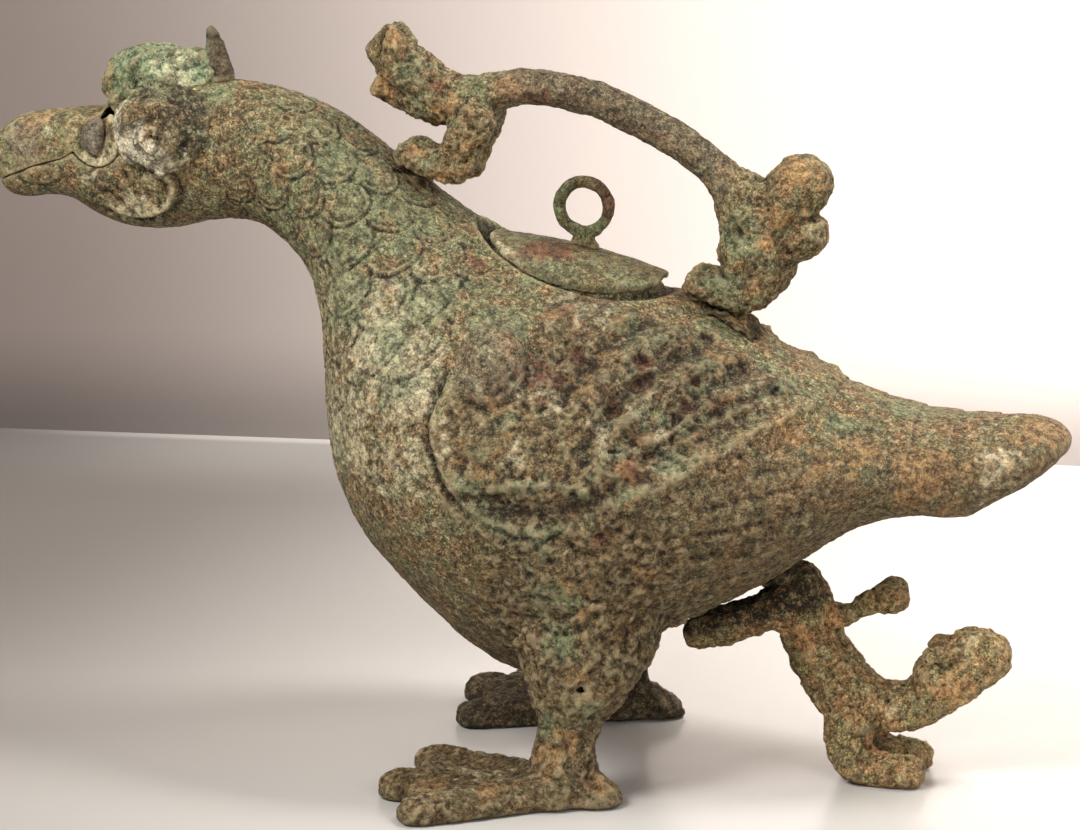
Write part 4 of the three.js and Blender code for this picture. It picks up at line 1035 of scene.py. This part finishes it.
LID_SLOPE = 0.21
LID_OCHRE = ((15, -3, 163, 6),)
LID_RED = ((8, -9, 161, 7), (14, -8, 161, 6), (30, 8, 158, 5))
lid = casting("lid_oval", "lid_plate", 0.45)
soften(lid, 10, 0.7)
points = points_of(lid)
x, y, z = points.T
on_top = ease(z + LID_SLOPE * (x - LID_CENTRE[0]), 149, 155)
raise_by(lid, (0.16 * lumps(points, 6.0, 221) + 0.12 * crags(points, 3.0, 225)) * on_top)
front_rim = ease(off_lid(x, y), 0.86, 0.97) * ease(x, 12, -4)
weather(lid, green=0.4 + 0.2 * noise(points, 7, 222), ochre=0.5 * spots(points, LID_OCHRE, 223),
        pale=0.8 * front_rim, brown=0.2, red=0.75 * spots(points, LID_RED, 224))
lid_finish = crusted("lid_crust", 0.75, (60, 53, 38), (106, 97, 74), (156, 146, 116), green=(104, 112, 86),
                     depth=0.6)
fit(lid, lid_finish, "lid", "lid_bronze", "lid_plate")

# The lid's ring is a bronze grip, and an eye for a lost chain. It is cast in one with its stem, which is set
# into the plate.

ring = casting("lid_ring_and_stem", "lid_ring", 0.35)
soften(ring, 12, 0.7)
points = points_of(ring)
x, y, z = points.T
raise_by(ring, 0.22 + 0.22 * lumps(points, 3.6, 231) + 0.4 * crags(points, 4.0, 235) * ease(z, 170, 166))
weather(ring, green=0.5 + 0.3 * noise(points, 5, 234), ochre=0.5 * ease(z, 166, 163), brown=0.35,
        red=0.7 * ease(x, 22, 26) * ease(z, 168, 174))
ring_finish = crusted("ring_crust", 0.8, (48, 42, 29), (98, 88, 64), (150, 140, 108), green=(94, 110, 80))
fit(ring, ring_finish, "lid", "lid_bronze", "lid_ring")

# The stage is a pale glazed table top and a plain painted wall behind it. Both carry painted light: lighter
# on the right, the wall's foot in painted shade, and the table lighter near the wall, along its back edge and
# at the front. The wall is open from behind, so that the vessel can be seen from there.


def sheet(name, corners):
    """A flat stage surface through its four corners, in metres."""
    mesh = bpy.data.meshes.new(name)
    mesh.from_pydata(corners, [], [range(4)])
    surface = bpy.data.objects.new(name, mesh)
    bpy.context.collection.objects.link(surface)
    return surface


TABLE = 3.0
WALL_LEFT = (-0.3288, 0.4176)
WALL_RIGHT = (0.1308, 0.4476)
WALL_HEIGHT = 2.5
WALL_FOOT_HEIGHT = 0.05
WALL_FOOT_SHADE = 0.52
LIGHTER_FROM = (-0.34, 0.06)
TABLE_LOOK = ("glazed_table", (114, 109, 104), (194, 190, 184), 0.22, -0.4)
WALL_LOOK = ("plain_wall", (126, 114, 107), (218, 206, 199), 0.8, 0.0)
wall_turn = math.atan2(WALL_RIGHT[1] - WALL_LEFT[1], WALL_RIGHT[0] - WALL_LEFT[0])
wall_ends = [(WALL_LEFT[0] + math.cos(wall_turn) * step, WALL_LEFT[1] + math.sin(wall_turn) * step)
             for step in (-TABLE, TABLE)]
floor = sheet("table_top", [(-TABLE, -TABLE, 0), (TABLE, -TABLE, 0), (TABLE, TABLE, 0), (-TABLE, TABLE, 0)])
wall = sheet("back_wall", [(*wall_ends[0], 0), (*wall_ends[1], 0), (*wall_ends[1], WALL_HEIGHT),
                           (*wall_ends[0], WALL_HEIGHT)])
for surface, name, dim, bright, rough, lean in ((floor, *TABLE_LOOK), (wall, *WALL_LOOK)):
    finish = bpy.data.materials.new(name)
    finish.use_nodes = True
    tree = finish.node_tree
    shader = tree.nodes["Principled BSDF"]
    place = add(tree, "TexCoord", {})["Object"]
    split = add(tree, "SeparateXYZ", {0: place})
    across = worked(tree, "MULTIPLY_ADD", split["Y"], lean, split["X"])
    colour = laid_over(tree, stepped(tree, across, *LIGHTER_FROM), shade(*dim), shade(*bright))
    if surface is wall:
        foot_shade = stepped(tree, split["Z"], 0.0, WALL_FOOT_HEIGHT, WALL_FOOT_SHADE, 1.0)
        colour = tinted(tree, colour, foot_shade)
        behind = add(tree, "NewGeometry", {})["Backfacing"]
        clear = add(tree, "BsdfTransparent", {})["BSDF"]
        open_back = add(tree, "MixShader", {0: behind, 1: shader.outputs["BSDF"], 2: clear})
        tree.links.new(open_back[0], tree.nodes["Material Output"].inputs["Surface"])
    else:
        wall_line = worked(tree, "MULTIPLY_ADD", split["X"], math.tan(wall_turn),
                           WALL_LEFT[1] - WALL_LEFT[0] * math.tan(wall_turn))
        off_wall = worked(tree, "SUBTRACT", wall_line, split["Y"])
        # Painted light on the table: lighter near the wall on the lit side, a painted glint along its back
        # edge, and lighter towards the front.
        lit = stepped(tree, split["X"], -0.34, -0.2)
        far_share = worked(tree, "MULTIPLY", stepped(tree, off_wall, 0.0, 0.12, 0.4, 0.0), lit)
        edge_share = worked(tree, "MULTIPLY", stepped(tree, off_wall, 0.004, 0.012, 0.9, 0.0), lit)
        near_share = stepped(tree, split["Y"], -0.08, 0.06, 0.22, 0.0)
        for share in (far_share, near_share, edge_share):
            colour = laid_over(tree, share, colour, shade(*bright))
    tree.links.new(colour, shader.inputs["Base Color"])
    tree.links.new(stepped(tree, cloud(tree, place, 60.0), 0.3, 0.7, rough * 0.9, rough * 1.1),
                   shader.inputs["Roughness"])
    surface.data.materials.append(finish)

# Light: one soft window from the left, in front and above, a little from the room on the right, a wash on the
# right of the wall, and a weak glow all round.

GLOW_COLOUR = (1.0, 0.97, 0.94, 1.0)
GLOW_STRENGTH = 0.22


def lamp(name, place, target, size, power, colour, spread=180):
    """A round soft lamp turned to its target, in metres, watts and degrees."""
    light = bpy.data.lights.new(name, "AREA")
    light.shape = "DISK"
    light.size = size
    light.energy = power
    light.color = colour
    light.spread = math.radians(spread)
    holder = bpy.data.objects.new(name, light)
    holder.location = place
    holder.rotation_euler = (Vector(target) - Vector(place)).to_track_quat("-Z", "Y").to_euler()
    bpy.context.collection.objects.link(holder)


lamp("window", (-0.65, -0.95, 1.15), (0, 0, 0.1), 0.6, 26, (1.0, 0.985, 0.97))
lamp("room", (0.75, -0.85, 0.5), (0.08, 0, 0.08), 0.7, 6, (1.0, 0.98, 0.96))
lamp("wall_wash", (0.55, 0.1, 1.1), (0.28, 0.44, 0.2), 0.4, 6, (1.0, 0.98, 0.97), 80)
world = bpy.data.worlds.new("room")
world.use_nodes = True
world.node_tree.nodes["Background"].inputs["Color"].default_value = GLOW_COLOUR
world.node_tree.nodes["Background"].inputs["Strength"].default_value = GLOW_STRENGTH
bpy.context.scene.world = world

# The camera stands where the photograph was taken from, a little above the vessel and to its tail side, with
# a long lens.

CAMERA_AIM = Vector((0.0058, 0.0, 0.1082))
CAMERA_TURN = math.radians(13)
CAMERA_RISE = math.radians(12)
CAMERA_DISTANCE = 1.25
LENS = 135.25
SENSOR_WIDTH = 36.0
camera_lens = bpy.data.cameras.new("camera")
camera_lens.sensor_width = SENSOR_WIDTH
camera_lens.sensor_fit = "HORIZONTAL"
camera_lens.lens = LENS
camera = bpy.data.objects.new("camera", camera_lens)
level = math.cos(CAMERA_RISE)
toward_camera = Vector((math.sin(CAMERA_TURN) * level, -math.cos(CAMERA_TURN) * level, math.sin(CAMERA_RISE)))
camera.location = CAMERA_AIM + toward_camera * CAMERA_DISTANCE
camera.rotation_euler = (-toward_camera).to_track_quat("-Z", "Y").to_euler()
bpy.context.collection.objects.link(camera)
bpy.context.scene.camera = camera
bpy.context.scene.view_settings.view_transform = "Standard"
